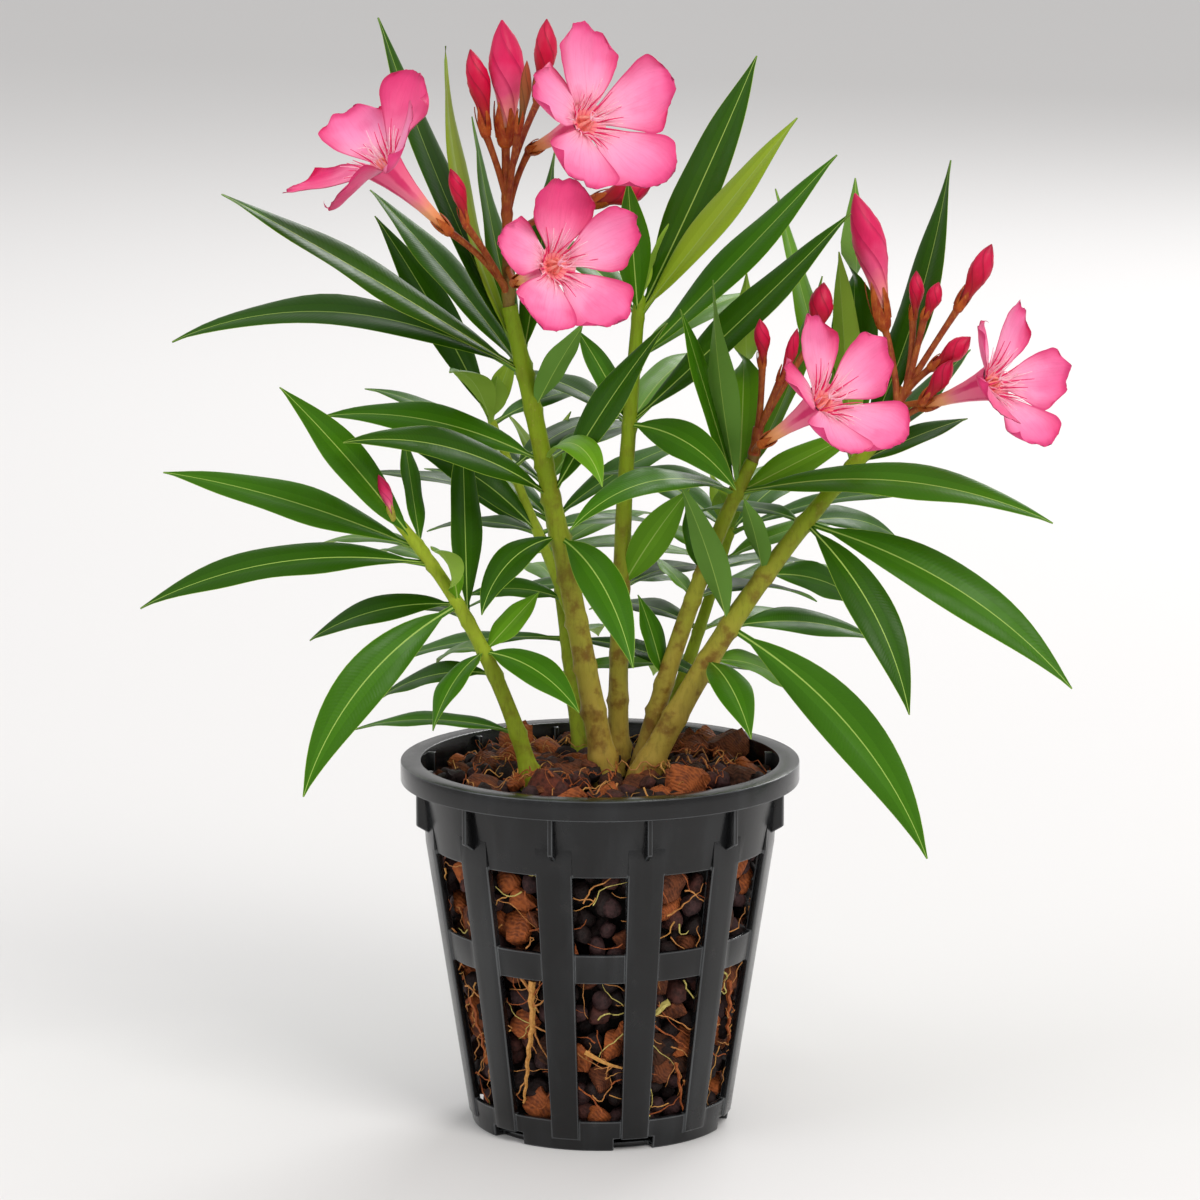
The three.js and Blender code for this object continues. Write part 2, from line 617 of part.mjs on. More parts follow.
// The tall stem grown by the gap all round, which cuts the foot of the shoot that branches off it.
function tallStemWithGap() {
  const shoot = shootOf("tall");
  return limb({ ...shoot, radius: (t) => shoot.radius(t) + GAP }, 0.1, 0.48, 8, 4);
}

const leafGroup = new THREE.Group();
const roll = dice(FILL.seed);
for (const mass of MASSES) {
  const shoot = shootOf(mass.shoot);
  const start = mass.span[0] + (mass.span[0] > 0 ? GAP / shoot.length : 0);
  let solid = solidOf(limb(shoot, start, mass.span[1], 6, Math.ceil((mass.span[1] - start) / STRAIGHT)));
  if (mass.shoot === "side") solid = solid.subtract(solidOf(tallStemWithGap()));
  for (const [at, ...leaves] of mass.whorls)
    for (const leaf of [...leaves, ...fillWhorl(mass, at, roll, neighbours)])
      solid = solid.add(solidOf(leafBlade(shoot.at(at), leaf)));
  leafGroup.add(piece(mass.name, geometryOf(solid), LEAF_SURFACE, shoot.at(start)));
}

const plant = new THREE.Group();
plant.add(stemGroup, leafGroup, blossomGroup);
const oleander = new THREE.Group();
oleander.add(potGroup, plant);

export default oleander;
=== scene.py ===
"""A young oleander in bloom in a slotted nursery pot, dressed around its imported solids.

Metres, +Z up, the front faces -Y, the origin is the middle of the pot's underside. The plan of the plant
(shoots, whorls, blossom and the rule for the filling leaves) is in millimetres, as it is in the part's
source, and a Tray turns it into metres when it makes a mesh.
"""

import sys
import logging
import math
from collections.abc import Callable, Iterable
from dataclasses import dataclass, field
from enum import Enum

import bmesh
import bpy
import numpy as np
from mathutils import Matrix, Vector


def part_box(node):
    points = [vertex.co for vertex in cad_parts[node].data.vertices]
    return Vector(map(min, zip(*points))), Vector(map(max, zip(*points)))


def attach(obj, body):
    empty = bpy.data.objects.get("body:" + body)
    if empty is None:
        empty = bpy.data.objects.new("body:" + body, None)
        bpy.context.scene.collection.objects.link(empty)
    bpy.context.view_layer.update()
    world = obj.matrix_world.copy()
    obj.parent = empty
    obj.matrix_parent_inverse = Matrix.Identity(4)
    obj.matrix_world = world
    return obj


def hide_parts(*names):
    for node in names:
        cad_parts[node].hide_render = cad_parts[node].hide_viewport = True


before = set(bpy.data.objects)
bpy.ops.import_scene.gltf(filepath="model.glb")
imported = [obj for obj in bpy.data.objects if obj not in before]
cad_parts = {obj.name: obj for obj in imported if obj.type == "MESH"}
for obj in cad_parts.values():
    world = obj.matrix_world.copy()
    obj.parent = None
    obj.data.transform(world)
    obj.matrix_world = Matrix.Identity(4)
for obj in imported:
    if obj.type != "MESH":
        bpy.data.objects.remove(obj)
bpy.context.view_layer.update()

log = logging.getLogger("oleander")

MM = 0.001
GAP = 0.3  # between neighbouring solids, in millimetres
POT_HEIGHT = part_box("pot")[1].z / MM
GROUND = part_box("potting_mix")[1].z / MM + GAP

Triple = tuple[float, float, float]
Stops = tuple[tuple[float, str], ...]
Array = np.ndarray
Piece = bpy.types.Object
Material = bpy.types.Material
Socket = bpy.types.NodeSocket


# ---- Numbers and directions ----------------------------------------------------------------------


class Dice:
    """A sequence of numbers that is the same for the same seed."""

    def __init__(self, seed: int) -> None:
        """Starts the sequence at a seed."""
        self.state = seed

    def roll(self) -> float:
        """The next number from 0 to 1."""
        self.state = self.state * 48271 % 2147483647
        return self.state / 2147483647

    def between(self, low: float, high: float) -> float:
        """The next number, scaled to lie from low to high."""
        return low + (high - low) * self.roll()

    def triple(self, reach: float = 1.0) -> Array:
        """The next three numbers, each from -reach to reach."""
        return np.array([self.between(-reach, reach) for _ in range(3)])

    def pick(self, options: tuple) -> object:
        """One of the options."""
        return options[min(int(self.roll() * len(options)), len(options) - 1)]


def mix(a: float, b: float, t: float) -> float:
    """The number or point at the share t of the way from a to b."""
    return a + (b - a) * t


def unit(v: Array) -> Array:
    """The direction of v."""
    return v / np.linalg.norm(v)


@dataclass(frozen=True)
class Axis:
    """The line that a flower or bud stands on, from its calyx to the point that it looks at."""

    start: Array
    end: Array

    def length(self) -> float:
        """The line's length."""
        return float(np.linalg.norm(self.end - self.start))

    def place(self, points: Array, spin: float = 0.0) -> Array:
        """Moves a shape that stands on the origin along +Y onto the line.

        Args:
            points: the shape's points, the last axis holding x, y and z.
            spin: how far it is turned about +Y first, in degrees.

        Returns:
            The points in their new place.
        """
        if spin:
            c, s = math.cos(math.radians(spin)), math.sin(math.radians(spin))
            points = points @ np.array(((c, 0, s), (0, 1, 0), (-s, 0, c))).T
        turn = Vector((0, 1, 0)).rotation_difference(Vector(self.end - self.start)).to_matrix()
        return points @ np.array(turn).T + self.start


def even_angles(count: int) -> Array:
    """Even angles round a circle, in radians."""
    return np.arange(count) * 2 * math.pi / count


def rings(radii: Array, heights: Array, angles: Array) -> Array:
    """Rings of points round the Y axis.

    Args:
        radii: a radius for each ring or for each point, one row to a ring.
        heights: the height of each ring, one row to a ring.
        angles: the angle of each point in radians.

    Returns:
        The points, one row to a ring.
    """
    x = radii * np.cos(angles)
    return np.stack([x, np.broadcast_to(heights, x.shape), -radii * np.sin(angles)], 2)


def linear(code: str) -> tuple[float, float, float, float]:
    """A hex screen colour as the linear colour that a shader takes.

    Args:
        code: six hex digits after a #.

    Returns:
        Red, green, blue and an alpha of 1.
    """
    shares = [int(code[i : i + 2], 16) / 255 for i in (1, 3, 5)]
    return (*(s / 12.92 if s < 0.04045 else ((s + 0.055) / 1.055) ** 2.4 for s in shares), 1.0)


# ---- Finishes ------------------------------------------------------------------------------------


class Nodes:
    """The node tree of one new material, with its Principled shader at hand."""

    def __init__(self, name: str) -> None:
        """Makes the material.

        Args:
            name: the material's name.
        """
        self.material = bpy.data.materials.new(name)
        self.material.use_nodes = True
        self.tree = self.material.node_tree
        self.shader = self.tree.nodes["Principled BSDF"]

    def add(self, kind: str, links: dict[str | int, object] | None = None,
            **settings: object) -> bpy.types.Node:
        """Adds a node.

        Args:
            kind: the node's type without the ShaderNode in front.
            links: what goes into its inputs, each a socket or a plain value.
            settings: the node's own settings.

        Returns:
            The node.
        """
        node = self.tree.nodes.new("ShaderNode" + kind)
        for key, value in settings.items():
            setattr(node, key, value)
        for key, value in (links or {}).items():
            self.feed(node, key, value)
        return node

    def feed(self, node: bpy.types.Node, key: str | int, value: object) -> None:
        """Links a socket to an input, or sets the input to a plain value.

        Args:
            node: the node.
            key: the input's name or number.
            value: the socket or value.
        """
        if isinstance(value, Socket):
            self.tree.links.new(value, node.inputs[key])
        else:
            node.inputs[key].default_value = value

    def plain(self, **values: object) -> None:
        """Sets inputs of the shader that are the same all over, named with _ for a space."""
        for key, value in values.items():
            self.shader.inputs[key.replace("_", " ")].default_value = value

    def place(self) -> Socket:
        """The piece's own coordinates in metres."""
        return self.add("TexCoord").outputs["Object"]

    def noise(self, at: object, scale: float, detail: float = 3, rough: float = 0.5) -> Socket:
        """A cloudy pattern.

        Args:
            at: the socket with the coordinates.
            scale: how many features there are to one unit of them.
            detail: how many finer layers it has.
            rough: how strong those are.

        Returns:
            The socket with its value.
        """
        links = {"Vector": at, "Scale": scale, "Detail": detail, "Roughness": rough}
        return self.add("TexNoise", links).outputs["Fac"]

    def sums(self, operation: str, *values: object) -> Socket:
        """One step of arithmetic on sockets or numbers."""
        return self.add("Math", dict(enumerate(values)), operation=operation).outputs[0]

    def plus(self, a: object, b: object) -> Socket:
        """The sum of two sockets or numbers."""
        return self.sums("ADD", a, b)

    def minus(self, a: object, b: object) -> Socket:
        """One socket or number less another."""
        return self.sums("SUBTRACT", a, b)

    def times(self, a: object, b: object) -> Socket:
        """The product of two sockets or numbers."""
        return self.sums("MULTIPLY", a, b)

    def wander(self, at: object, scale: float, detail: float, reach: float) -> Socket:
        """A cloudy value that strays from zero by up to half of a reach."""
        return self.times(self.minus(self.noise(at, scale, detail), 0.5), reach)

    def drawn_out(self, at: object, share: float) -> Socket:
        """Coordinates that count the height at a share, which draws a pattern out along it."""
        return self.add("Mapping", {"Vector": at, "Scale": (1.0, 1.0, share)}).outputs["Vector"]

    def paint(self, value: object) -> None:
        """Gives the shader its base colour."""
        self.feed(self.shader, "Base Color", value)

    def roughen(self, value: object) -> None:
        """Gives the shader its roughness."""
        self.feed(self.shader, "Roughness", value)

    def ramp(self, value: object, stops: Iterable[tuple[float, str]]) -> Socket:
        """Colours a value.

        Args:
            value: the socket with the value.
            stops: places from 0 to 1, each with its colour.

        Returns:
            The socket with the colour.
        """
        node = self.add("ValToRGB", {"Fac": value})
        band = node.color_ramp
        for i, (place, code) in enumerate(stops):
            stop = band.elements[i] if i < 2 else band.elements.new(place)
            stop.position = place
            stop.color = linear(code)
        return node.outputs["Color"]

    def blend(self, share: object, a: object, b: object) -> Socket:
        """Mixes two colours.

        Args:
            share: the share of the second, a socket or number.
            a: the first colour, a socket or hex code.
            b: the second.

        Returns:
            The socket with the colour.
        """
        node = self.add("Mix", data_type="RGBA")
        self.feed(node, "Factor", share)
        self.feed(node, 6, linear(a) if isinstance(a, str) else a)
        self.feed(node, 7, linear(b) if isinstance(b, str) else b)
        return node.outputs[2]

    def within(self, value: object, low: float, high: float, to: tuple[float, float] = (0, 1)) -> Socket:
        """A value's smooth rise from one level to another.

        Args:
            value: the socket with the value.
            low: the value at which the rise starts.
            high: the value at which it ends.
            to: the levels before and after.

        Returns:
            The socket with the result.
        """
        links = {"Value": value, "From Min": low, "From Max": high, "To Min": to[0], "To Max": to[1]}
        return self.add("MapRange", links, interpolation_type="SMOOTHSTEP").outputs["Result"]

    def relief(self, height: object, depth: float, strength: float = 1.0) -> None:
        """Gives the shader a bump of some depth in metres."""
        links = {"Height": height, "Distance": depth, "Strength": strength}
        self.feed(self.shader, "Normal", self.add("Bump", links).outputs["Normal"])

    def map_parts(self) -> tuple[Socket, Socket]:
        """The piece's own map: the share across or round, and the share along."""
        parts = self.add("SeparateXYZ", {"Vector": self.add("UVMap", uv_map=Tray.MAP).outputs["UV"]})
        return parts.outputs["X"], parts.outputs["Y"]


@dataclass(frozen=True)
class LeafFinish:
    """One plain green of a leaf's face, rib or margin, with the fine relief of its side veins."""

    name: str
    colour: str
    roughness: float = 0.34
    veins: float = 0.000022
    vein_count: float = 62.0
    slant: float = 7.0
    specular: float = 0.13

    def build(self) -> Material:
        """Makes the material.

        Returns:
            The material.
        """
        nodes = Nodes(self.name)
        across, along = nodes.map_parts()
        from_rib = nodes.sums("ABSOLUTE", nodes.minus(across, 0.5))
        phase = nodes.plus(nodes.times(along, self.vein_count), nodes.times(from_rib, -self.slant))
        ribs = nodes.sums("SINE", nodes.times(phase, 2 * math.pi))
        skin = nodes.noise(nodes.place(), 900.0, 4, 0.6)
        nodes.relief(nodes.plus(nodes.times(ribs, 0.35), skin), self.veins)
        blotches = nodes.noise(nodes.place(), 160.0, 3)
        nodes.roughen(nodes.within(blotches, 0.25, 0.75, (self.roughness - 0.06, self.roughness + 0.1)))
        nodes.plain(Base_Color=linear(self.colour), Specular_IOR_Level=self.specular)
        return nodes.material


@dataclass(frozen=True)
class BarkFinish:
    """The skin of the stems: brown and corky at the foot, olive above, green near the leaves."""

    name: str = "stem_bark"
    foot: float = 0.118
    green: float = 0.265
    colours: tuple[str, ...] = ("#a88c3c", "#9c9634", "#84981b", "#7a981b")
    places: tuple[float, ...] = (0.0, 0.3, 0.6, 1.0)
    rust: str = "#6c421a"
    streak: str = "#5a5222"
    cork: str = "#a1924f"

    def build(self) -> Material:
        """Makes the material.

        Returns:
            The material.
        """
        nodes = Nodes(self.name)
        place = nodes.place()
        height = nodes.add("SeparateXYZ", {"Vector": place}).outputs["Z"]
        level = nodes.within(nodes.plus(height, nodes.wander(place, 60.0, 4, 0.05)), self.foot, self.green)
        level.node.interpolation_type = "LINEAR"
        skin = nodes.ramp(level, zip(self.places, self.colours))
        streaks = nodes.noise(nodes.drawn_out(place, 0.22), 900.0, 5, 0.65)
        flecks = nodes.add("TexVoronoi", {"Vector": place, "Scale": 420.0}).outputs["Distance"]
        cork = nodes.within(flecks, 0.0, 0.2, (0.4, 0.0))
        patches = nodes.within(nodes.noise(place, 140.0, 4, 0.6), 0.47, 0.7, (0.0, 0.8))
        rust = nodes.times(patches, nodes.within(level, 0.2, 0.95, (1.0, 0.15)))
        patched = nodes.blend(rust, skin, self.rust)
        streaked = nodes.blend(nodes.within(streaks, 0.45, 0.75, (0.0, 0.35)), patched, self.streak)
        nodes.paint(nodes.blend(cork, streaked, self.cork))
        nodes.relief(nodes.minus(streaks, nodes.times(cork, 0.6)), 0.00015, 0.6)
        nodes.roughen(nodes.within(streaks, 0.3, 0.7, (0.42, 0.6)))
        nodes.plain(Specular_IOR_Level=0.15)
        return nodes.material


@dataclass(frozen=True)
class StalkFinish:
    """The skin of flower stalks and calyces: a base colour mottled with a deeper one."""

    name: str
    colour: str
    deeper: str
    paler: str

    def build(self) -> Material:
        """Makes the material.

        Returns:
            The material.
        """
        nodes = Nodes(self.name)
        place = nodes.place()
        blotches = nodes.noise(place, 260.0, 4, 0.6)
        streaks = nodes.noise(nodes.drawn_out(place, 0.3), 1500.0, 3)
        base = nodes.blend(nodes.within(blotches, 0.35, 0.7), self.colour, self.deeper)
        nodes.paint(nodes.blend(nodes.within(streaks, 0.5, 0.8, (0, 0.5)), base, self.paler))
        nodes.relief(streaks, 0.0001, 0.7)
        nodes.plain(Roughness=0.52, Specular_IOR_Level=0.25)
        return nodes.material


@dataclass(frozen=True)
class PetalFinish:
    """A petal's velvet: pale and streaked near the throat, clear pink beyond, deepest at its edge."""

    name: str = "petal_pink"
    stops: Stops = (
        (0.0, "#f79a9c"), (0.12, "#fcb4cc"), (0.3, "#fda5ca"), (0.6, "#fb8fbe"), (0.85, "#f56fa5"),
        (1.0, "#e63f80"),
    )
    edge: str = "#e33a78"
    streak: str = "#d43a74"
    bloom: str = "#ee5f98"

    def build(self) -> Material:
        """Makes the material.

        Returns:
            The material.
        """
        nodes = Nodes(self.name)
        across, along = nodes.map_parts()
        place = nodes.place()
        wander = nodes.wander(place, 90.0, 3, 0.28)
        face = nodes.ramp(nodes.plus(along, wander), self.stops)
        from_middle = nodes.sums("ABSOLUTE", nodes.minus(nodes.times(across, 2.0), 1.0))
        rim = nodes.within(nodes.plus(from_middle, wander), 0.42, 1.05, (0.0, 0.75))
        nodes.feed(rim.node, "To Max", nodes.within(along, 0.15, 0.6, (0.1, 0.75)))
        clouds = nodes.within(nodes.noise(place, 85.0, 3), 0.5, 0.72, (0.0, 0.5))
        clouded = nodes.blend(clouds, face, self.bloom)
        outline = nodes.within(nodes.sums("MAXIMUM", from_middle, along), 0.88, 1.0, (0.0, 0.95))
        edged = nodes.blend(outline, nodes.blend(rim, clouded, self.edge), self.streak)
        links = {"X": nodes.times(across, 16.0), "Y": nodes.times(along, 1.6)}
        spread = nodes.add("CombineXYZ", links).outputs[0]
        rays = nodes.noise(spread, 1.6, 3, 0.55)
        near_throat = nodes.within(along, 0.06, 0.42, (1.0, 0.0))
        strongest = nodes.sums("MAXIMUM", near_throat, 0.2)
        streaks = nodes.times(nodes.within(rays, 0.5, 0.66, (0.0, 0.7)), strongest)
        nodes.paint(nodes.blend(streaks, edged, self.streak))
        nodes.relief(nodes.plus(rays, nodes.times(nodes.noise(place, 700.0, 3), 0.5)), 0.00022, 0.8)
        nodes.plain(Roughness=0.55, Sheen_Weight=0.08, Sheen_Roughness=0.4, Specular_IOR_Level=0.2)
        return nodes.material


@dataclass(frozen=True)
class ThroatFinish:
    """The inside of the tube: peach, with fine dark red lines that run down into it."""

    name: str = "throat_peach"
    stops: Stops = ((0.0, "#ee7c5e"), (0.5, "#f98e90"), (1.0, "#ffb6c8"))
    line: str = "#d93468"
    lines: int = 15

    def build(self) -> Material:
        """Makes the material.

        Returns:
            The material.
        """
        nodes = Nodes(self.name)
        around, along = nodes.map_parts()
        line = nodes.sums("SINE", nodes.times(around, 2 * math.pi * self.lines))
        wobble = nodes.noise(nodes.place(), 500.0, 3)
        lines = nodes.within(nodes.plus(line, nodes.times(wobble, 0.6)), 0.75, 1.25, (0.0, 0.6))
        nodes.paint(nodes.blend(lines, nodes.ramp(along, self.stops), self.line))
        nodes.relief(nodes.plus(line, wobble), 0.00012, 0.6)
        nodes.plain(Roughness=0.6)
        return nodes.material


@dataclass(frozen=True)
class TubeFinish:
    """The outside of the tube: cream and orange at its calyx, with pink stripes that widen to the petals."""

    name: str = "tube_striped"
    stops: Stops = ((0.0, "#e08a3c"), (0.3, "#f3a878"), (0.55, "#f5829c"), (1.0, "#ee5a8b"))
    stripe: str = "#d8356c"
    stripes: int = 5

    def build(self) -> Material:
        """Makes the material.

        Returns:
            The material.
        """
        nodes = Nodes(self.name)
        around, along = nodes.map_parts()
        stripe = nodes.sums("SINE", nodes.times(around, 2 * math.pi * self.stripes))
        wander = nodes.noise(nodes.place(), 300.0, 3)
        wavy = nodes.within(nodes.plus(stripe, wander), 0.4, 1.3)
        deep = nodes.times(wavy, nodes.within(along, 0.35, 0.75))
        nodes.paint(nodes.blend(deep, nodes.ramp(along, self.stops), self.stripe))
        nodes.relief(nodes.plus(stripe, wander), 0.0002, 0.6)
        nodes.plain(Roughness=0.5, Specular_IOR_Level=0.25)
        return nodes.material


@dataclass(frozen=True)
class BudFinish:
    """A furled bud: its colour runs from base to tip, darker along the creases where its petals overlap."""

    name: str
    stops: Stops
    crease: str
    petals: int = 5
    turns: float = 0.55

    def build(self) -> Material:
        """Makes the material.

        Returns:
            The material.
        """
        nodes = Nodes(self.name)
        around, along = nodes.map_parts()
        place = nodes.place()
        base = nodes.ramp(nodes.plus(along, nodes.wander(place, 180.0, 3, 0.3)), self.stops)
        turn = nodes.plus(nodes.times(around, self.petals), nodes.times(along, self.petals * self.turns))
        crease = nodes.within(nodes.sums("FRACT", turn), 0.72, 1.0, (0.0, 0.7))
        nodes.paint(nodes.blend(crease, base, self.crease))
        nodes.relief(nodes.noise(nodes.drawn_out(place, 0.25), 1400.0, 3), 0.00012, 0.8)
        nodes.plain(Roughness=0.45, Specular_IOR_Level=0.25)
        return nodes.material


@dataclass(frozen=True)
class PlasticFinish:
    """Satin black plastic with a fine moulded grain, dusty patches, faint scuffs and painted sheen: drawn-out
    lighter streaks that stand in for satin reflections.
    """

    name: str = "charcoal_plastic"
    dark: str = "#060607"
    light: str = "#0f1012"
    # the lighter colour of the painted reflection streaks
    wear_and_sheen: str = "#232527"
    dusty: str = "#34322f"
    specular: float = 0.42

    def build(self) -> Material:
        """Makes the material.

        Returns:
            The material.
        """
        nodes = Nodes(self.name)
        place = nodes.place()
        cloud = nodes.noise(place, 38.0, 5, 0.6)
        dust = nodes.within(nodes.noise(place, 150.0, 6, 0.7), 0.55, 0.8, (0.0, 0.25))
        drawn = nodes.drawn_out(place, 0.08)
        # painted reflection: lighter streaks drawn out along the height, standing in for the satin sheen
        painted_sheen_streaks = nodes.within(nodes.noise(drawn, 70.0, 4, 0.6), 0.46, 0.7, (0.0, 0.7))
        clouded = nodes.blend(nodes.within(cloud, 0.35, 0.7), self.dark, self.light)
        nodes.paint(nodes.blend(dust, nodes.blend(painted_sheen_streaks, clouded, self.wear_and_sheen), self.dusty))
        grain = nodes.noise(place, 2600.0, 2, 0.5)
        scuffs = nodes.within(nodes.noise(drawn, 520.0, 5, 0.7), 0.66, 0.8)
        nodes.relief(nodes.minus(grain, nodes.times(scuffs, 0.8)), 0.00005, 0.8)
        satin = nodes.within(cloud, 0.3, 0.75, (0.12, 0.28))
        nodes.roughen(nodes.plus(satin, nodes.times(dust, 0.5)))
        nodes.plain(Specular_IOR_Level=self.specular)
        return nodes.material


@dataclass(frozen=True)
class ChipFinish:
    """A crumb or root of the potting mix, rough and pitted, with the grain of wood where it has "lines"."""

    name: str
    colour: str
    shade: str
    grain: float = 700.0
    depth: float = 0.0006
    roughness: float = 0.8
    lines: float = 0.0

    def build(self) -> Material:
        """Makes the material.

        Returns:
            The material.
        """
        nodes = Nodes(self.name)
        place = nodes.place()
        clouds = nodes.noise(place, self.grain * 0.4, 6, 0.7)
        pits = nodes.add("TexVoronoi", {"Vector": place, "Scale": self.grain}).outputs["Distance"]
        wear_and_sheen = nodes.plus(clouds, nodes.times(pits, 0.3))
        if self.lines:
            links = {"Vector": place, "Scale": self.lines, "Distortion": 14.0, "Detail": 3.0,
                     "Detail Scale": 0.4}
            wood = nodes.add("TexWave", links, bands_direction="DIAGONAL").outputs["Fac"]
            wear_and_sheen = nodes.plus(wear_and_sheen, nodes.times(nodes.minus(wood, 0.5), 0.15))
        nodes.relief(wear_and_sheen, self.depth)
        nodes.paint(nodes.blend(nodes.within(wear_and_sheen, 0.4, 0.85), self.shade, self.colour))
        nodes.roughen(nodes.within(clouds, 0.3, 0.7, (self.roughness - 0.15, self.roughness + 0.1)))
        nodes.plain(Specular_IOR_Level=0.25)
        return nodes.material


@dataclass(frozen=True)
class FloorFinish:
    """The pale matt ground under the pot."""

    name: str = "studio_floor"
    colour: str = "#e3e2e2"

    def build(self) -> Material:
        """Makes the material.

        Returns:
            The material.
        """
        nodes = Nodes(self.name)
        nodes.plain(Base_Color=linear(self.colour), Roughness=0.75, Specular_IOR_Level=0.2)
        return nodes.material


Finish = (LeafFinish | BarkFinish | StalkFinish | PetalFinish | ThroatFinish | TubeFinish | BudFinish
          | PlasticFinish | ChipFinish | FloorFinish)


# ---- Meshes from arrays --------------------------------------------------------------------------


class Tray:
    """Gathers many small surfaces into one mesh, with a finish and a map for every face."""

    MAP = "Along"

    def __init__(self, finishes: Iterable[Finish]) -> None:
        """Starts an empty tray.

        Args:
            finishes: the finishes that its faces choose from, in the order of their slots.
        """
        self.finishes = list(finishes)
        self.points: list[Array] = []
        self.faces: list[tuple[int, ...]] = []
        self.kinds: list[int] = []
        self.map: list[tuple[float, float]] = []
        self.count = 0

    def put(self, points: Array) -> int:
        """Adds points.

        Args:
            points: the points in millimetres.

        Returns:
            The number of the first one.
        """
        first = self.count
        flat = points.reshape(-1, 3)
        self.points.append(flat)
        self.count += len(flat)
        return first

    def grid(self, points: Array, kinds: int | Array, ring: bool = True, caps: bool = True,
             across: Array | None = None) -> None:
        """Adds a grid of points as a skin of four-sided faces.

        Args:
            points: rows of points, each row the same number of them.
            kinds: the slot of every face, or one for each column.
            ring: whether each row closes on itself.
            caps: whether a ring's first and last rows are closed by a face.
            across: the share across at each column, for the map.
        """
        rows, columns = points.shape[:2]
        first = self.put(points)
        wide = columns if ring else columns - 1
        slots = np.broadcast_to(kinds, wide)
        shares = np.linspace(0, 1, columns, endpoint=not ring) if across is None else across
        for i in range(rows - 1):
            low, high = i / (rows - 1), (i + 1) / (rows - 1)
            for j in range(wide):
                k = (j + 1) % columns
                row = first + i * columns
                self.faces.append((row + j, row + k, row + columns + k, row + columns + j))
                self.kinds.append(int(slots[j]))
                left = shares[j]
                right = shares[k] if k or across is not None else 1.0
                self.map += [(left, low), (right, low), (right, high), (left, high)]
        if ring and caps:
            last = first + (rows - 1) * columns
            self.cap(tuple(range(first + columns - 1, first - 1, -1)), int(slots[0]), 0.0)
            self.cap(tuple(range(last, last + columns)), int(slots[0]), 1.0)

    def cap(self, corners: tuple[int, ...], kind: int, along: float) -> None:
        """Closes a ring with one face.

        Args:
            corners: the numbers of its points.
            kind: the slot of its finish.
            along: its place along the piece, for the map.
        """
        self.faces.append(corners)
        self.kinds.append(kind)
        self.map += [(0.5, along)] * len(corners)

    def lump(self, points: Array, faces: Iterable[tuple[int, ...]], kind: int) -> None:
        """Adds a closed shape.

        Args:
            points: its points.
            faces: its faces, as numbers of its points.
            kind: the slot of its finish.
        """
        first = self.put(points)
        for face in faces:
            self.cap(tuple(first + i for i in face), kind, 0.5)

    def build(self, name: str, slot: str, stands_for: Iterable[str], sharp: float = 40.0) -> Piece:
        """Makes the piece.

        Args:
            name: its name.
            slot: not used.
            stands_for: the solids that it replaces.
            sharp: the angle in degrees from which an edge is drawn sharp.

        Returns:
            The finished object.
        """
        mesh = bpy.data.meshes.new(name)
        points = np.concatenate(self.points) * MM
        mesh.from_pydata(points.tolist(), [], self.faces)
        mesh.polygons.foreach_set("material_index", self.kinds)
        layer = mesh.uv_layers.new(name=self.MAP)
        layer.data.foreach_set("uv", np.array(self.map, dtype=np.float32).ravel())
        for finish in self.finishes:
            mesh.materials.append(material(finish))
        mesh.update()
        piece = bpy.data.objects.new(name, mesh)
        bpy.context.collection.objects.link(piece)
        deselect()
        bpy.context.view_layer.objects.active = piece
        piece.select_set(True)
        bpy.ops.object.shade_smooth_by_angle(angle=math.radians(sharp))
        return settle(piece, stands_for)


def tube(tray: Tray, line: Array, radii: Array, kind: int, sides: int) -> None:
    """Adds a round stalk, thread or root along a line.

    Args:
        tray: where it goes.
        line: its points.
        radii: its radius at each.
        kind: the slot of its finish.
        sides: how many sides it has.
    """
    spans = np.gradient(line, axis=0)
    ways = spans / np.linalg.norm(spans, axis=1, keepdims=True)
    aside = np.array((1.0, 0, 0)) if abs(ways[0][0]) < 0.8 else np.array((0, 1.0, 0))
    first = np.cross(ways, aside)
    first /= np.linalg.norm(first, axis=1, keepdims=True)
    second = np.cross(ways, first)
    angles = even_angles(sides)[None, :, None]
    ring = np.cos(angles) * first[:, None] + np.sin(angles) * second[:, None]
    tray.grid(line[:, None] + ring * radii[:, None, None], kind)


def material(finish: Finish) -> Material:
    """The material of a finish, made once."""
    return bpy.data.materials.get(finish.name) or finish.build()


def deselect() -> None:
    """Leaves nothing selected, in object mode."""
    if bpy.context.object and bpy.context.object.mode != "OBJECT":
        bpy.ops.object.mode_set(mode="OBJECT")
    bpy.ops.object.select_all(action="DESELECT")


def select_where(piece: Piece, kind: str, test: Callable[[object], bool]) -> None:
    """Selects, in edit mode, the elements of a piece that pass a test, and no others.

    Args:
        piece: the piece.
        kind: FACE, EDGE or VERT.
        test: takes one such element.
    """
    bpy.ops.mesh.select_all(action="DESELECT")
    bpy.ops.mesh.select_mode(type=kind)
    work = bmesh.from_edit_mesh(piece.data)
    for element in {"FACE": work.faces, "EDGE": work.edges, "VERT": work.verts}[kind]:
        if test(element):
            element.select_set(True)
    bmesh.update_edit_mesh(piece.data)


def settle(piece: Piece, stands_for: Iterable[str]) -> Piece:
    """Parents a finished piece to the root body and hides the solids that it stands for.

    Args:
        piece: the piece.
        stands_for: the solids that it replaces.

    Returns:
        The piece.
    """
    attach(piece, "root")
    nodes = tuple(stands_for)
    if nodes:
        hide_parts(*nodes)
    faces, solids = len(piece.data.polygons), ", ".join(nodes) or "nothing"
    log.info("%s: %d faces, stands for %s", piece.name, faces, solids)
    return piece


# ---- The plan of the plant -----------------------------------------------------------------------


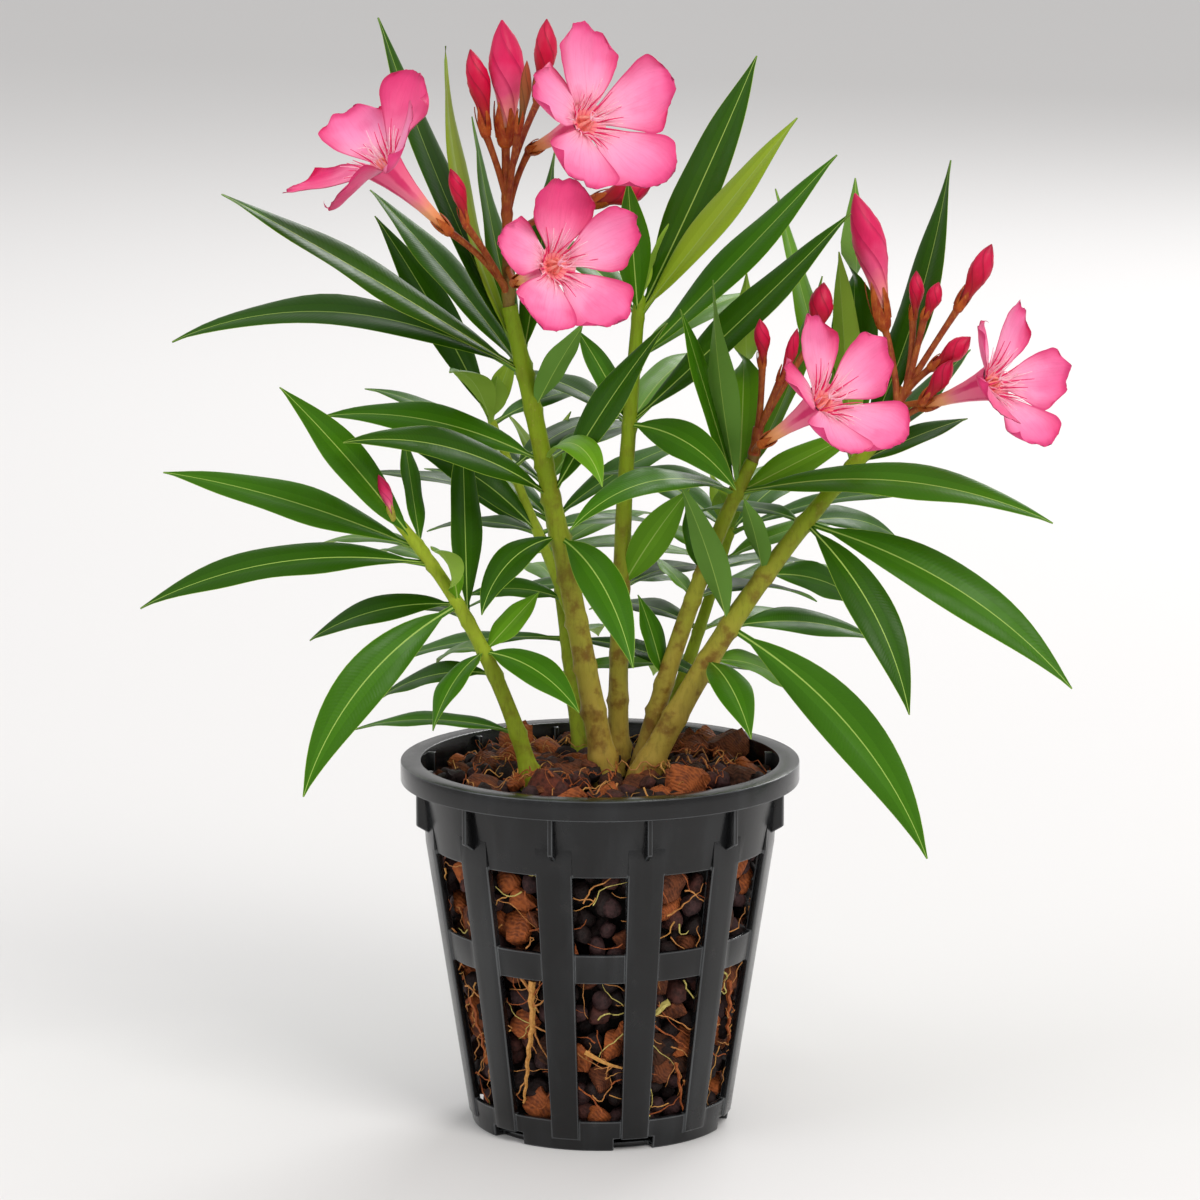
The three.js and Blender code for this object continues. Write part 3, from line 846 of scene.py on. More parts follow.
@dataclass(frozen=True)
class Shoot:
    """A woody shoot: a bowed line whose radius falls from its foot to its tip, in millimetres."""

    foot: Triple
    tip: Triple
    bow: Triple
    radius: tuple[float, float]
    flare: float = 0.35
    fade: float = 0.05

    def at(self, t: float) -> Array:
        """The point at the share t of its length."""
        straight = mix(np.array(self.foot, float), np.array(self.tip, float), t)
        return straight + 4 * t * (1 - t) * np.array(self.bow)

    def along(self, t: float) -> Array:
        """Its direction at the share t."""
        return unit(self.at(t + 0.01) - self.at(t - 0.01))

    def thick(self, t: float) -> float:
        """Its radius at the share t, with the flare of a shoot that stands in the ground."""
        rooted = self.foot[2] == GROUND
        return mix(*self.radius, t) * (1 + (self.flare * math.exp(-t / self.fade) if rooted else 0))

    def length(self) -> float:
        """The straight length from foot to tip."""
        return float(np.linalg.norm(np.subtract(self.tip, self.foot)))


class Age(Enum):
    """How old a leaf is, which sets its green."""

    OLD = 0
    GROWN = 1
    FRESH = 2
    YOUNG = 3


@dataclass(frozen=True)
class Leaf:
    """A leaf: it leaves its shoot at "rise" above the level and bends down by "droop" towards its tip."""

    azimuth: float
    rise: float
    droop: float
    length: float
    face: float
    age: Age | None = None


@dataclass(frozen=True)
class Whorl:
    """The leaves that stand round one place on a shoot."""

    at: float
    leaves: tuple[Leaf, ...] = ()


@dataclass(frozen=True)
class Mass:
    """The leaves of one length of a shoot, which stand for the solid of the same name."""

    name: str
    shoot: str
    whorls: tuple[Whorl, ...]


@dataclass(frozen=True)
class Bloom:
    """An open flower, measured from its shoot's tip: it joins the stalk at the share "at".

    The petals listed in "deep" are of the deeper pink, and those listed in "wide" are the broad ones.
    """

    at: float
    base: Triple
    front: Triple
    across: float
    spin: float
    deep: tuple[int, ...] = ()
    wide: tuple[int, ...] = ()


@dataclass(frozen=True)
class Bud:
    """A closed bud, measured from its shoot's tip."""

    at: float
    base: Triple
    front: Triple
    radius: float


@dataclass(frozen=True)
class Head:
    """The blossom at the end of one shoot."""

    name: str
    shoot: str
    stalk: Triple
    blooms: tuple[Bloom, ...]
    buds: tuple[Bud, ...]


SHOOTS = {
    "tall": Shoot((2, -6, GROUND), (-29, -8, 270), (1, 0, 0), (4.0, 2.5)),
    "middle": Shoot((6, 10, GROUND), (13, 8, 272), (-2, 0, 0), (3.4, 2.0)),
    "inner": Shoot((13, 2, GROUND), (49, -2, 219), (-2, 0, 3), (3.3, 2.2)),
    "outer": Shoot((13.5, -9, GROUND), (91, 4, 226), (-3, 0, 5), (4.2, 2.2)),
    "low": Shoot((-22, -14, GROUND), (-66, -16, 203), (5, 0, 3), (2.8, 1.8)),
    "side": Shoot((-7, -6.5, 163), (-36, 24, 229), (0, 5, 0), (1.9, 1.3)),
    "back": Shoot((-6, 24, GROUND), (-18, 56, 205), (0, -5, 0), (2.6, 1.5)),
    "rear": Shoot((18, 19, GROUND), (44, 54, 188), (0, -5, 0), (2.6, 1.5)),
}
OLD, GROWN, FRESH, YOUNG = Age

MASSES = (
    Mass("tall_lower_leaves", "tall", (
        Whorl(0.514, (Leaf(-140, 1, 75, 42, 30), Leaf(-62, -9, 55, 63, 80, GROWN))),
        Whorl(0.598, (Leaf(-152, 36, 40, 79, 40, OLD), Leaf(-30, 59, 10, 73, 35, OLD))),
        Whorl(0.671, (Leaf(168, 26, 35, 76, 35, GROWN), Leaf(-60, 47, 110, 44, 30, FRESH))),
    )),
    Mass("tall_upper_leaves", "tall", (
        Whorl(0.782, (Leaf(-40, 59, 10, 37, -15, GROWN),)),
        Whorl(0.858, (Leaf(175, 30, 55, 119, 25, OLD), Leaf(-168, 34, 5, 114, 25, OLD),
                      Leaf(140, 44, 10, 86, 5, GROWN))),
        Whorl(0.88, (Leaf(150, 59, -10, 121, 0, OLD), Leaf(165, 63, -28, 105, 0, YOUNG),
                     Leaf(114, 56, -12, 86, -20, GROWN), Leaf(73, 58, -8, 74, -20, GROWN))),
    )),
    Mass("middle_lower_leaves", "middle", (
        Whorl(0.38, (Leaf(-28, 59, 10, 43, 80, FRESH),)),
        Whorl(0.726, (Leaf(-9, 43, -3, 100, 30, OLD), Leaf(-48, 4, 45, 54, 65, GROWN),
                      Leaf(150, 61, 10, 36, 15, GROWN))),
    )),
    Mass("middle_upper_leaves", "middle", (
        Whorl(0.85, (Leaf(14, 43, -3, 95, 20, GROWN),)),
        Whorl(0.95, (Leaf(-20, 51, 0, 85, 30, YOUNG), Leaf(25, 61, -4, 93, 25, OLD),
                     Leaf(-100, 66, 0, 51, 30, GROWN))),
    )),
    Mass("inner_lower_leaves", "inner", (
        Whorl(0.267, (Leaf(150, 75, 10, 30, 5),)),
        Whorl(0.534, (Leaf(135, 39, 15, 21, -10),)),
        Whorl(0.608, (Leaf(120, 63, 0, 23, -10),)),
    )),
    Mass("inner_upper_leaves", "inner", (
        Whorl(0.883, (Leaf(-138, 25, 60, 75, 25, GROWN), Leaf(-16, 15, 38, 106, 30, GROWN),
                      Leaf(-158, 72, 0, 64, 15, GROWN), Leaf(20, 23, 0, 47, 40, FRESH))),
        Whorl(0.902, (Leaf(-125, 71, -14, 71, 5, OLD), Leaf(84, 53, -30, 73, -20, FRESH),
                      Leaf(36, 52, -24, 75, -5, FRESH))),
    )),
    Mass("outer_lower_leaves", "outer", (
        Whorl(0.309, (Leaf(-75, 1, 40, 53, 15, GROWN), Leaf(47, -4, 40, 51, 40, FRESH))),
        Whorl(0.403, (Leaf(-24, -26, 42, 101, 80, GROWN), Leaf(30, 4, 30, 58, 35, GROWN),
                      Leaf(-145, 75, 15, 53, -10, OLD))),
    )),
    Mass("outer_middle_leaves", "outer", (
        Whorl(0.553, (Leaf(40, -3, 35, 47, 55, GROWN), Leaf(-120, 71, 20, 31, 10, GROWN))),
        Whorl(0.712, (Leaf(-45, -30, 45, 75, 40, OLD), Leaf(-12, -14, 35, 103, 50, GROWN),
                      Leaf(52, 1, 30, 54, 45, GROWN))),
    )),
    Mass("outer_upper_leaves", "outer", (
        Whorl(0.843, (Leaf(50, -9, 10, 27, 45, FRESH),)),
        Whorl(0.9, (Leaf(20, 23, 10, 42, 20, OLD), Leaf(49, 27, 0, 69, -5, OLD),
                    Leaf(46, 52, -26, 107, -5, OLD), Leaf(88, 65, -8, 96, -20, GROWN),
                    Leaf(103, 73, 0, 70, -20, FRESH), Leaf(116, 52, -10, 101, -20, FRESH))),
    )),
    Mass("low_lower_leaves", "low", (
        Whorl(0.17, (Leaf(165, 12, 30, 56, 10, GROWN),)),
        Whorl(0.38, (Leaf(147, 0, 35, 48, 30, OLD),)),
        Whorl(0.46, (Leaf(-117, -6, 50, 41, -20, GROWN), Leaf(-44, 3, 45, 46, 45, GROWN),
                     Leaf(30, 41, 0, 27, 25, FRESH), Leaf(114, -1, 30, 43, 40, FRESH))),
    )),
    Mass("low_middle_leaves", "low", (
        Whorl(0.58, (Leaf(95, 68, 0, 66, -20, OLD),)),
        Whorl(0.64, (Leaf(160, 0, 35, 55, 35, OLD), Leaf(-145, -20, 50, 84, 80, GROWN),
                     Leaf(-100, 61, 60, 45, 45, FRESH))),
    )),
    Mass("low_upper_leaves", "low", (
        Whorl(0.8, (Leaf(-174, 10, 38, 96, 30, OLD),)),
        Whorl(0.86, (Leaf(170, 22, 15, 88, 35, GROWN), Leaf(110, 63, 0, 41, -20, GROWN))),
        Whorl(0.89, (Leaf(-150, 52, 8, 72, 45, GROWN),)),
    )),
    Mass("side_leaves", "side", (
        Whorl(0.15, (Leaf(162, 17, 40, 35, 25, GROWN),)),
        Whorl(0.45, (Leaf(169, 48, 35, 56, 35, OLD),)),
        Whorl(0.75, (Leaf(150, 38, 35, 62, 5, GROWN),)),
        Whorl(0.97, (Leaf(165, 64, 10, 78, 25, OLD), Leaf(-110, 58, 60, 46, 15, FRESH))),
    )),
    Mass("back_lower_leaves", "back", (Whorl(0.43), Whorl(0.59))),
    Mass("back_upper_leaves", "back", (Whorl(0.74), Whorl(0.84), Whorl(0.96))),
    Mass("rear_lower_leaves", "rear", (Whorl(0.41), Whorl(0.57))),
    Mass("rear_upper_leaves", "rear", (Whorl(0.74), Whorl(0.85), Whorl(0.97))),
)

HEADS = (
    Head("tall_blossom", "tall", (-1, 0, 52), (
        Bloom(0.08, (-18, -16.5, 25), (-40, -26, 49), 57, 48, (1, 2, 4)),
        Bloom(0.55, (6, 8, 48.5), (26, -18, 61), 57, 66, (), (2,)),
        Bloom(0.22, (1.5, -11, 8.5), (16, -39, 18), 49, 64, (2,), (2,)),
    ), (
        Bud(0.66, (-7, -2, 54), (-12, -3, 82), 3.7),
        Bud(1.0, (-1, 0, 51), (-2, 0, 91), 5.7),
        Bud(0.75, (9, 16, 63), (12, 18, 90), 3.7),
        Bud(0.58, (3, -7, 55), (6, -10, 79), 1.9),
        Bud(0.05, (-13, -18, 27), (-18, -20, 46), 2.5),
        Bud(0.4, (25, 24, 30), (46, 24, 37), 4.5),
    )),
    Head("inner_blossom", "inner", (2, -1, 11), (
        Bloom(0.2, (2, -13, 7), (23, -34, 25), 50, 60, (3,), (2,)),
    ), (
        Bud(1.0, (3, -4, 30), (2, -8, 47), 2.6),
        Bud(0.7, (8, -6, 25), (14, -8, 44), 2.0),
        Bud(0.9, (19, 6, 37), (23, 6, 57), 4.0),
    )),
    Head("outer_blossom", "outer", (8, 3, 15), (
        Bloom(0.05, (12, -0.5, 9.5), (36, -18, 20.5), 47, 56, (4,)),
    ), (
        Bud(0.6, (1, 7, 34), (-9, 7, 78), 5.4),
        Bud(1.0, (10, 6, 36), (11, 6, 53), 2.5),
        Bud(1.0, (13, 2, 37), (18, 1, 50), 2.6),
        Bud(1.0, (24, 5, 40), (35, 3, 62), 3.6),
        Bud(0.9, (15, -1, 22), (28, -5, 33), 3.4),
        Bud(0.6, (12, -5, 11), (22, -8, 26), 3.0),
    )),
    Head("low_bud", "low", (-1.4, 0.2, 2), (), (Bud(1.0, (-0.2, -4.2, -0.6), (-4.6, -6, 14.6), 2.1),)),
)


# ---- Where leaves run ----------------------------------------------------------------------------


@dataclass(frozen=True)
class Blade:
    """The lines that every leaf follows, as in the part's source."""

    narrow: float = 8.0
    widening: float = 0.09
    stalk: float = 0.13
    bend: float = 1.15

    def half_widths(self, leaf: Leaf, shares: Array) -> Array:
        """Half of a leaf's width at each share of its length.

        Args:
            leaf: the leaf.
            shares: places from its root, 0, to its tip, 1.

        Returns:
            The half widths in millimetres.
        """
        u = np.clip((shares - 0.06) / 0.94, 0, 1)
        swell = np.maximum(np.maximum(self.stalk * (1 - u) ** 3, np.sin(np.pi * u**0.9)), 0.03)
        outline = np.where(shares <= 0.06, self.stalk, swell)
        return (self.narrow + self.widening * leaf.length) / 2 * outline

    def midrib(self, base: Array, leaf: Leaf, steps: int) -> tuple[Array, Array]:
        """The middle line of a leaf.

        Args:
            base: where it starts.
            leaf: the leaf.
            steps: how many lengths it is cut into.

        Returns:
            Its points and its direction at each.
        """
        rise = leaf.rise - leaf.droop * ((np.arange(steps) + 0.5) / steps) ** self.bend
        up, turn = np.radians(rise), math.radians(leaf.azimuth)
        ways = np.stack([np.cos(up) * math.cos(turn), np.cos(up) * math.sin(turn), np.sin(up)], 1)
        points = np.concatenate([[base], base + np.cumsum(ways, 0) * leaf.length / steps])
        places = np.arange(steps + 1)
        spans = points[np.minimum(places + 1, steps)] - points[np.maximum(places - 1, 0)]
        return points, spans / np.linalg.norm(spans, axis=1, keepdims=True)

    def frames(self, base: Array, leaf: Leaf, steps: int) -> tuple[Array, ...]:
        """How a leaf lies at each step of its length.

        Args:
            base: where it starts.
            leaf: the leaf.
            steps: how many lengths it is cut into.

        Returns:
            Its points, its half widths, and the directions across it and out of its face.
        """
        points, ways = self.midrib(base, leaf, steps)
        face = math.radians(leaf.face)
        normal = np.array((0, -math.sin(face), math.cos(face)))
        normals = normal - ways * (ways @ normal)[:, None]
        normals /= np.linalg.norm(normals, axis=1, keepdims=True)
        return points, self.half_widths(leaf, np.arange(steps + 1) / steps), np.cross(ways, normals), normals

    def spots(self, base: Array, leaf: Leaf) -> Array:
        """Points all over a leaf past its root, to keep other leaves off it.

        Args:
            base: where it starts.
            leaf: the leaf.

        Returns:
            The points.
        """
        steps = 20
        points, halves, across, _ = self.frames(base, leaf, steps)
        spread = np.array((-1, -0.67, -0.33, 0, 0.33, 0.67, 1))
        spots = points[:, None] + across[:, None] * (halves[:, None] * spread)[:, :, None]
        return spots[steps // 5 :].reshape(-1, 3)


BLADE = Blade()


@dataclass
class Filling:
    """The seeded rule that grows leaves where there is room, with what they have to keep off."""

    seed: int = 20
    front: tuple[float, ...] = (50, 130)
    back: tuple[float, ...] = (-20, 25, 70, 115, 160, 205)
    spread: float = 18
    rise: tuple[float, float] = (-14, 30)
    front_heights: tuple[float, float] = (130, 270)
    back_heights: tuple[float, float] = (130, 200)
    length: tuple[float, float] = (50, 76)
    droop: float = 30
    face: float = 10
    clear: float = 4.5
    side: float = 130
    deep: float = 112
    low: float = 122
    high: float = 318
    groups: list[tuple[Array, Array, Array, Array]] = field(default_factory=list)

    def keep_off(self, points: Array, radii: Array | float = 0.0) -> None:
        """Adds points that leaves stay clear of.

        Args:
            points: the points.
            radii: how far each reaches round itself.
        """
        spans = np.broadcast_to(np.asarray(radii, float), len(points))
        room = self.clear + spans.max()
        self.groups.append((points.min(0) - room, points.max(0) + room, points, spans))

    def fits(self, points: Array) -> bool:
        """Whether a leaf has room.

        Args:
            points: points all over it.

        Returns:
            Whether they lie within the crown and clear of everything.
        """
        inside = (np.abs(points[:, 0]) < self.side) & (points[:, 1] < self.deep)
        inside &= (points[:, 2] > self.low) & (points[:, 2] < self.high)
        if not inside.all():
            return False
        low, high = points.min(0), points.max(0)
        for first, last, others, radii in self.groups:
            if (first <= high).all() and (last >= low).all():
                gaps = np.linalg.norm(points[:, None] - others[None], axis=2) - radii
                if (gaps <= self.clear).any():
                    return False
        return True

    def survey(self) -> None:
        """Lists the shoots, the blossom and the named leaves as things to keep off."""
        for shoot in SHOOTS.values():
            shares = np.arange(31) / 30
            radii = np.array([shoot.thick(t) - 2 for t in shares])
            self.keep_off(np.array([shoot.at(t) for t in shares]), radii)
        for head in HEADS:
            self.keep_off(*Blossom(head).keep_off())
        for mass in MASSES:
            for whorl in mass.whorls:
                for leaf in whorl.leaves:
                    self.keep_off(BLADE.spots(SHOOTS[mass.shoot].at(whorl.at), leaf))

    def grow(self, mass: Mass, whorl: Whorl, dice: Dice) -> list[Leaf]:
        """The filling leaves of one whorl that have room.

        Args:
            mass: the mass that the whorl belongs to.
            whorl: the whorl.
            dice: the rule's own dice.

        Returns:
            The leaves.
        """
        base = SHOOTS[mass.shoot].at(whorl.at)
        behind = mass.shoot in ("back", "rear")
        lowest, highest = self.back_heights if behind else self.front_heights
        height = min(max((base[2] - lowest) / (highest - lowest), 0), 1)
        grown = []
        for azimuth in self.back if behind else self.front:
            turn = azimuth + self.spread * (2 * dice.roll() - 1)
            rise = mix(*self.rise, height) + 10 * dice.roll()
            leaf = Leaf(turn, rise, self.droop, mix(*self.length, dice.roll()), self.face)
            spots = BLADE.spots(base, leaf)
            if self.fits(spots):
                self.keep_off(spots)
                grown.append(leaf)
        return grown


# ---- Leaves --------------------------------------------------------------------------------------


@dataclass(frozen=True)
class LeafKit:
    """The cross-section of the finished leaves and the greens that they come in."""

    steps: int = 22
    rib: tuple[float, float] = (0.29, 0.09)
    margin: float = 0.15
    fold: float = 12.0
    roll_under: float = 0.16
    thickness: float = 0.42
    keel: float = 0.5
    wave: float = 0.075
    greens: tuple[tuple[str, str, str], ...] = (
        ("old", "#2b5305", "#305a07"), ("grown", "#39690b", "#3f710f"),
        ("fresh", "#5d8f18", "#65981d"), ("young", "#8ba92a", "#93b130"),
    )

    def finishes(self) -> list[LeafFinish]:
        """The finishes of a leaf piece.

        Returns:
            Two greens for each age, then rib, margin and the two undersides.
        """
        listed = []
        for name, outer, inner in self.greens:
            listed += [LeafFinish("leaf_" + name, outer), LeafFinish("leaf_" + name + "_by_rib", inner)]
        listed.append(LeafFinish("leaf_rib", "#9dbb58", 0.42, 0.00001))
        # the margin's lighter green is partly the leaf's own paler edge and partly a painted highlight along
        # its rim
        listed.append(LeafFinish("leaf_margin_and_highlight", "#83a336", 0.4, 0.00001))
        listed.append(LeafFinish("leaf_under", "#66903a", 0.55))
        listed.append(LeafFinish("leaf_under_young", "#8cae3e", 0.55))
        return listed

    def grow(self, tray: Tray, base: Array, leaf: Leaf, age: Age, dice: Dice) -> None:
        """Adds one leaf to a tray.

        Args:
            tray: where it goes.
            base: where it leaves its shoot.
            leaf: its place and size.
            age: its age.
            dice: what its small waves are drawn with.
        """
        points, halves, across, normals = BLADE.frames(base, leaf, self.steps)
        s = np.arange(self.steps + 1) / self.steps
        rib = np.minimum(mix(*self.rib, s) * mix(0.7, 1.0, min(leaf.length / 80, 1)), halves * 0.45)
        margin = np.minimum(self.margin, halves * 0.25)
        inner = rib + (halves - margin - rib) * 0.36
        mid = rib + (halves - margin - rib) * 0.7
        body = halves - margin
        top = np.stack([-halves, -body, -mid, -inner, -rib, rib, inner, mid, body, halves], 1)
        under = np.stack([mid, rib * 0.9, -rib * 0.9, -mid], 1)
        phases = [dice.between(0, 2 * math.pi) for _ in range(2)]
        counts = [dice.between(1.3, 2.6) for _ in range(2)]
        lift_top = self.lift(top, halves, s, phases, counts)
        lift_under = self.lift(under, halves, s, phases, counts)
        thick = np.minimum(self.thickness, halves * 0.9)[:, None]
        groove = np.where(np.abs(top) <= rib[:, None] * 1.01, 0.12 * (1 - s)[:, None], 0)
        keel = np.where(np.abs(under) < rib[:, None], self.keel * mix(1.3, 0.4, s)[:, None], 0)
        rounded = np.clip(1 - s / 0.07, 0, 1)[:, None] * halves[:, None]
        lift_top = lift_top + thick / 2 - groove
        lift_top[:, 1:-1] += 0.5 * rounded
        lift_under = lift_under - thick / 2 - np.minimum(keel, halves[:, None]) - 0.5 * rounded
        ring = np.concatenate([top, under], 1)[:, :, None] * across[:, None]
        lifts = np.concatenate([lift_top, lift_under], 1)[:, :, None] * normals[:, None]
        ring = points[:, None] + ring + lifts
        face, by_rib = 2 * age.value, 2 * age.value + 1
        back = 11 if age is YOUNG or age is FRESH else 10
        kinds = np.array([9, face, face, by_rib, 8, by_rib, face, face, 9, back, back, 8, back, back])
        shares = np.array([0, 0.02, 0.2, 0.38, 0.47, 0.53, 0.62, 0.8, 0.98, 1, 0.8, 0.53, 0.47, 0.2])
        tray.grid(ring, kinds, across=shares)

    def lift(self, x: Array, halves: Array, s: Array, phases: list[float],
             counts: list[float]) -> Array:
        """How far a leaf's skin stands off its flat plane.

        Args:
            x: places across the leaf in millimetres, one row for each step.
            halves: the half width at each step.
            s: the share of the length at each step.
            phases: where the waves of its two sides start.
            counts: how many waves its two sides have.

        Returns:
            The heights in millimetres.
        """
        share = np.abs(x) / np.maximum(halves[:, None], 1e-6)
        fold = np.abs(x) * math.sin(math.radians(self.fold))
        side = np.where(x < 0, 0, 1)
        phase = np.choose(side, phases) + 2 * math.pi * np.choose(side, counts) * s[:, None]
        waves = self.wave * halves[:, None] * share**2 * np.sin(phase)
        return fold - self.roll_under * halves[:, None] * share**4 + waves


@dataclass
class Foliage:
    """All the leaves, named and filling, one piece to a shoot."""

    kit: LeafKit = field(default_factory=LeafKit)
    filling: Filling = field(default_factory=Filling)
    seed: int = 77
    tuft: int = 3

    def plan(self) -> dict[str, list[tuple[Array, Leaf]]]:
        """Lays out every leaf, named and filling.

        Returns:
            The leaves of each shoot, each with its base.
        """
        self.filling.survey()
        dice = Dice(self.filling.seed)
        leaves: dict[str, list[tuple[Array, Leaf]]] = {name: [] for name in SHOOTS}
        for mass in MASSES:
            for whorl in mass.whorls:
                base = SHOOTS[mass.shoot].at(whorl.at)
                grown = [*whorl.leaves, *self.filling.grow(mass, whorl, dice)]
                leaves[mass.shoot] += [(base, leaf) for leaf in grown]
        return leaves

    def tip_leaves(self, name: str, dice: Dice) -> list[tuple[Array, Leaf]]:
        """The small new leaves that stand round a shoot's growing tip.

        Args:
            name: the shoot's name.
            dice: what they are drawn with.

        Returns:
            Each leaf with its base.
        """
        shoot = SHOOTS[name]
        start = dice.between(0, 120)
        turns = [start + 120 * k + dice.between(-15, 15) for k in range(self.tuft)]
        return [(shoot.at(0.985), Leaf(turn, dice.between(60, 78), 12, dice.between(16, 27), 0, YOUNG))
                for turn in turns]

    def age_of(self, leaf: Leaf, dice: Dice) -> Age:
        """A leaf's age, dealt out where the plan gives none."""
        return leaf.age or dice.pick((OLD, GROWN, GROWN, FRESH))

    def build(self) -> None:
        """Makes the leaf pieces."""
        dice = Dice(self.seed)
        for name, leaves in self.plan().items():
            tray = Tray(self.kit.finishes())
            if not any(head.shoot == name for head in HEADS):
                leaves = leaves + self.tip_leaves(name, dice)
            for base, leaf in leaves:
                self.kit.grow(tray, base, leaf, self.age_of(leaf, dice), dice)
            masses = [mass.name for mass in MASSES if mass.shoot == name]
            tray.build(name + "_foliage", "foliage", masses, 55.0)
            log.info("%s has %d leaves", name, len(leaves))


# ---- Stems ---------------------------------------------------------------------------------------


@dataclass(frozen=True)
class Stems:
    """The woody shoots, with a swelling and leaf scars at each node and a rounded tip."""

    sides: int = 20
    step: float = 1.6
    sunk: float = 2.2
    node_gap: float = 15.0
    swelling: float = 0.1
    scar: float = 0.22
    ridge: float = 0.022
    green: tuple[str, ...] = ("low", "side", "back", "rear")

    def nodes_of(self, name: str) -> list[float]:
        """Where leaves stand or have stood on a shoot.

        Args:
            name: the shoot's name.

        Returns:
            The shares of its length.
        """
        shoot = SHOOTS[name]
        leafy = sorted(whorl.at for mass in MASSES if mass.shoot == name for whorl in mass.whorls)
        bare = np.arange(0.05, leafy[0] - 0.04, self.node_gap / shoot.length())
        return [*bare, *leafy]

    def build(self) -> None:
        """Makes one piece to a shoot."""
        for number, name in enumerate(SHOOTS):
            self.build_shoot(name, Dice(300 + number))

    def build_shoot(self, name: str, dice: Dice) -> None:
        """Makes one shoot.

        Args:
            name: the shoot's name.
            dice: what its small unevennesses are drawn with.
        """
        shoot = SHOOTS[name]
        steps = int(shoot.length() / self.step)
        shares = np.linspace(-self.sunk / shoot.length(), 1.0, steps)
        round_angles = even_angles(self.sides)
        nodes = self.nodes_of(name)
        turns = [dice.between(0, 2) for _ in nodes]
        drift = [dice.between(0, 6.28) for _ in range(3)]
        rows = []
        for t in shares:
            way = np.array((0.0, 0, 1)) if t < 0.001 else shoot.along(t)
            side = unit(np.array((1.0, 0, 0)) - way * way[0])
            behind = np.cross(side, way)
            mm = t * shoot.length()
            swell = np.zeros(self.sides)
            for place, turn in zip(nodes, turns):
                off = mm - place * shoot.length()
                swell += self.swelling * math.exp(-((off / 1.6) ** 2))
                pads = np.maximum(0, np.cos(3 * (round_angles - turn))) ** 4
                swell += self.scar * pads * math.exp(-(((off + 0.9) / 1.1) ** 2))
            uneven = self.ridge * (np.sin(3 * round_angles + mm * 0.11 + drift[0])
                                   + 0.7 * np.sin(5 * round_angles - mm * 0.07 + drift[1])
                                   + 0.6 * math.sin(mm * 0.33 + drift[2]))
            end = min(1.0, ((1.0 - t) * shoot.length() + 0.3) / 1.5) ** 0.5 if name not in BLOOMING else 1.0
            r = shoot.thick(max(t, 0)) * (1 + swell + uneven) * end
            ring = np.cos(round_angles)[:, None] * side + np.sin(round_angles)[:, None] * behind
            middle = shoot.at(max(t, 0)) + min(t, 0) * shoot.length() * np.array((0, 0, 1))
            rows.append(middle + ring * r[:, None])
        tray = Tray([GREEN_SHOOT if name in self.green else BarkFinish()])
        tray.grid(np.array(rows)[:, ::-1], 0)
        stands_for = [name + "_stem"] if name + "_stem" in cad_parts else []
        tray.build(name + "_shoot", "stem", stands_for, 60.0)


GREEN_SHOOT = BarkFinish("stem_green", 0.04, 0.19, ("#8c8a2c", "#8f9926", "#93a526", "#98ac2a"))


# ---- Blossom -------------------------------------------------------------------------------------


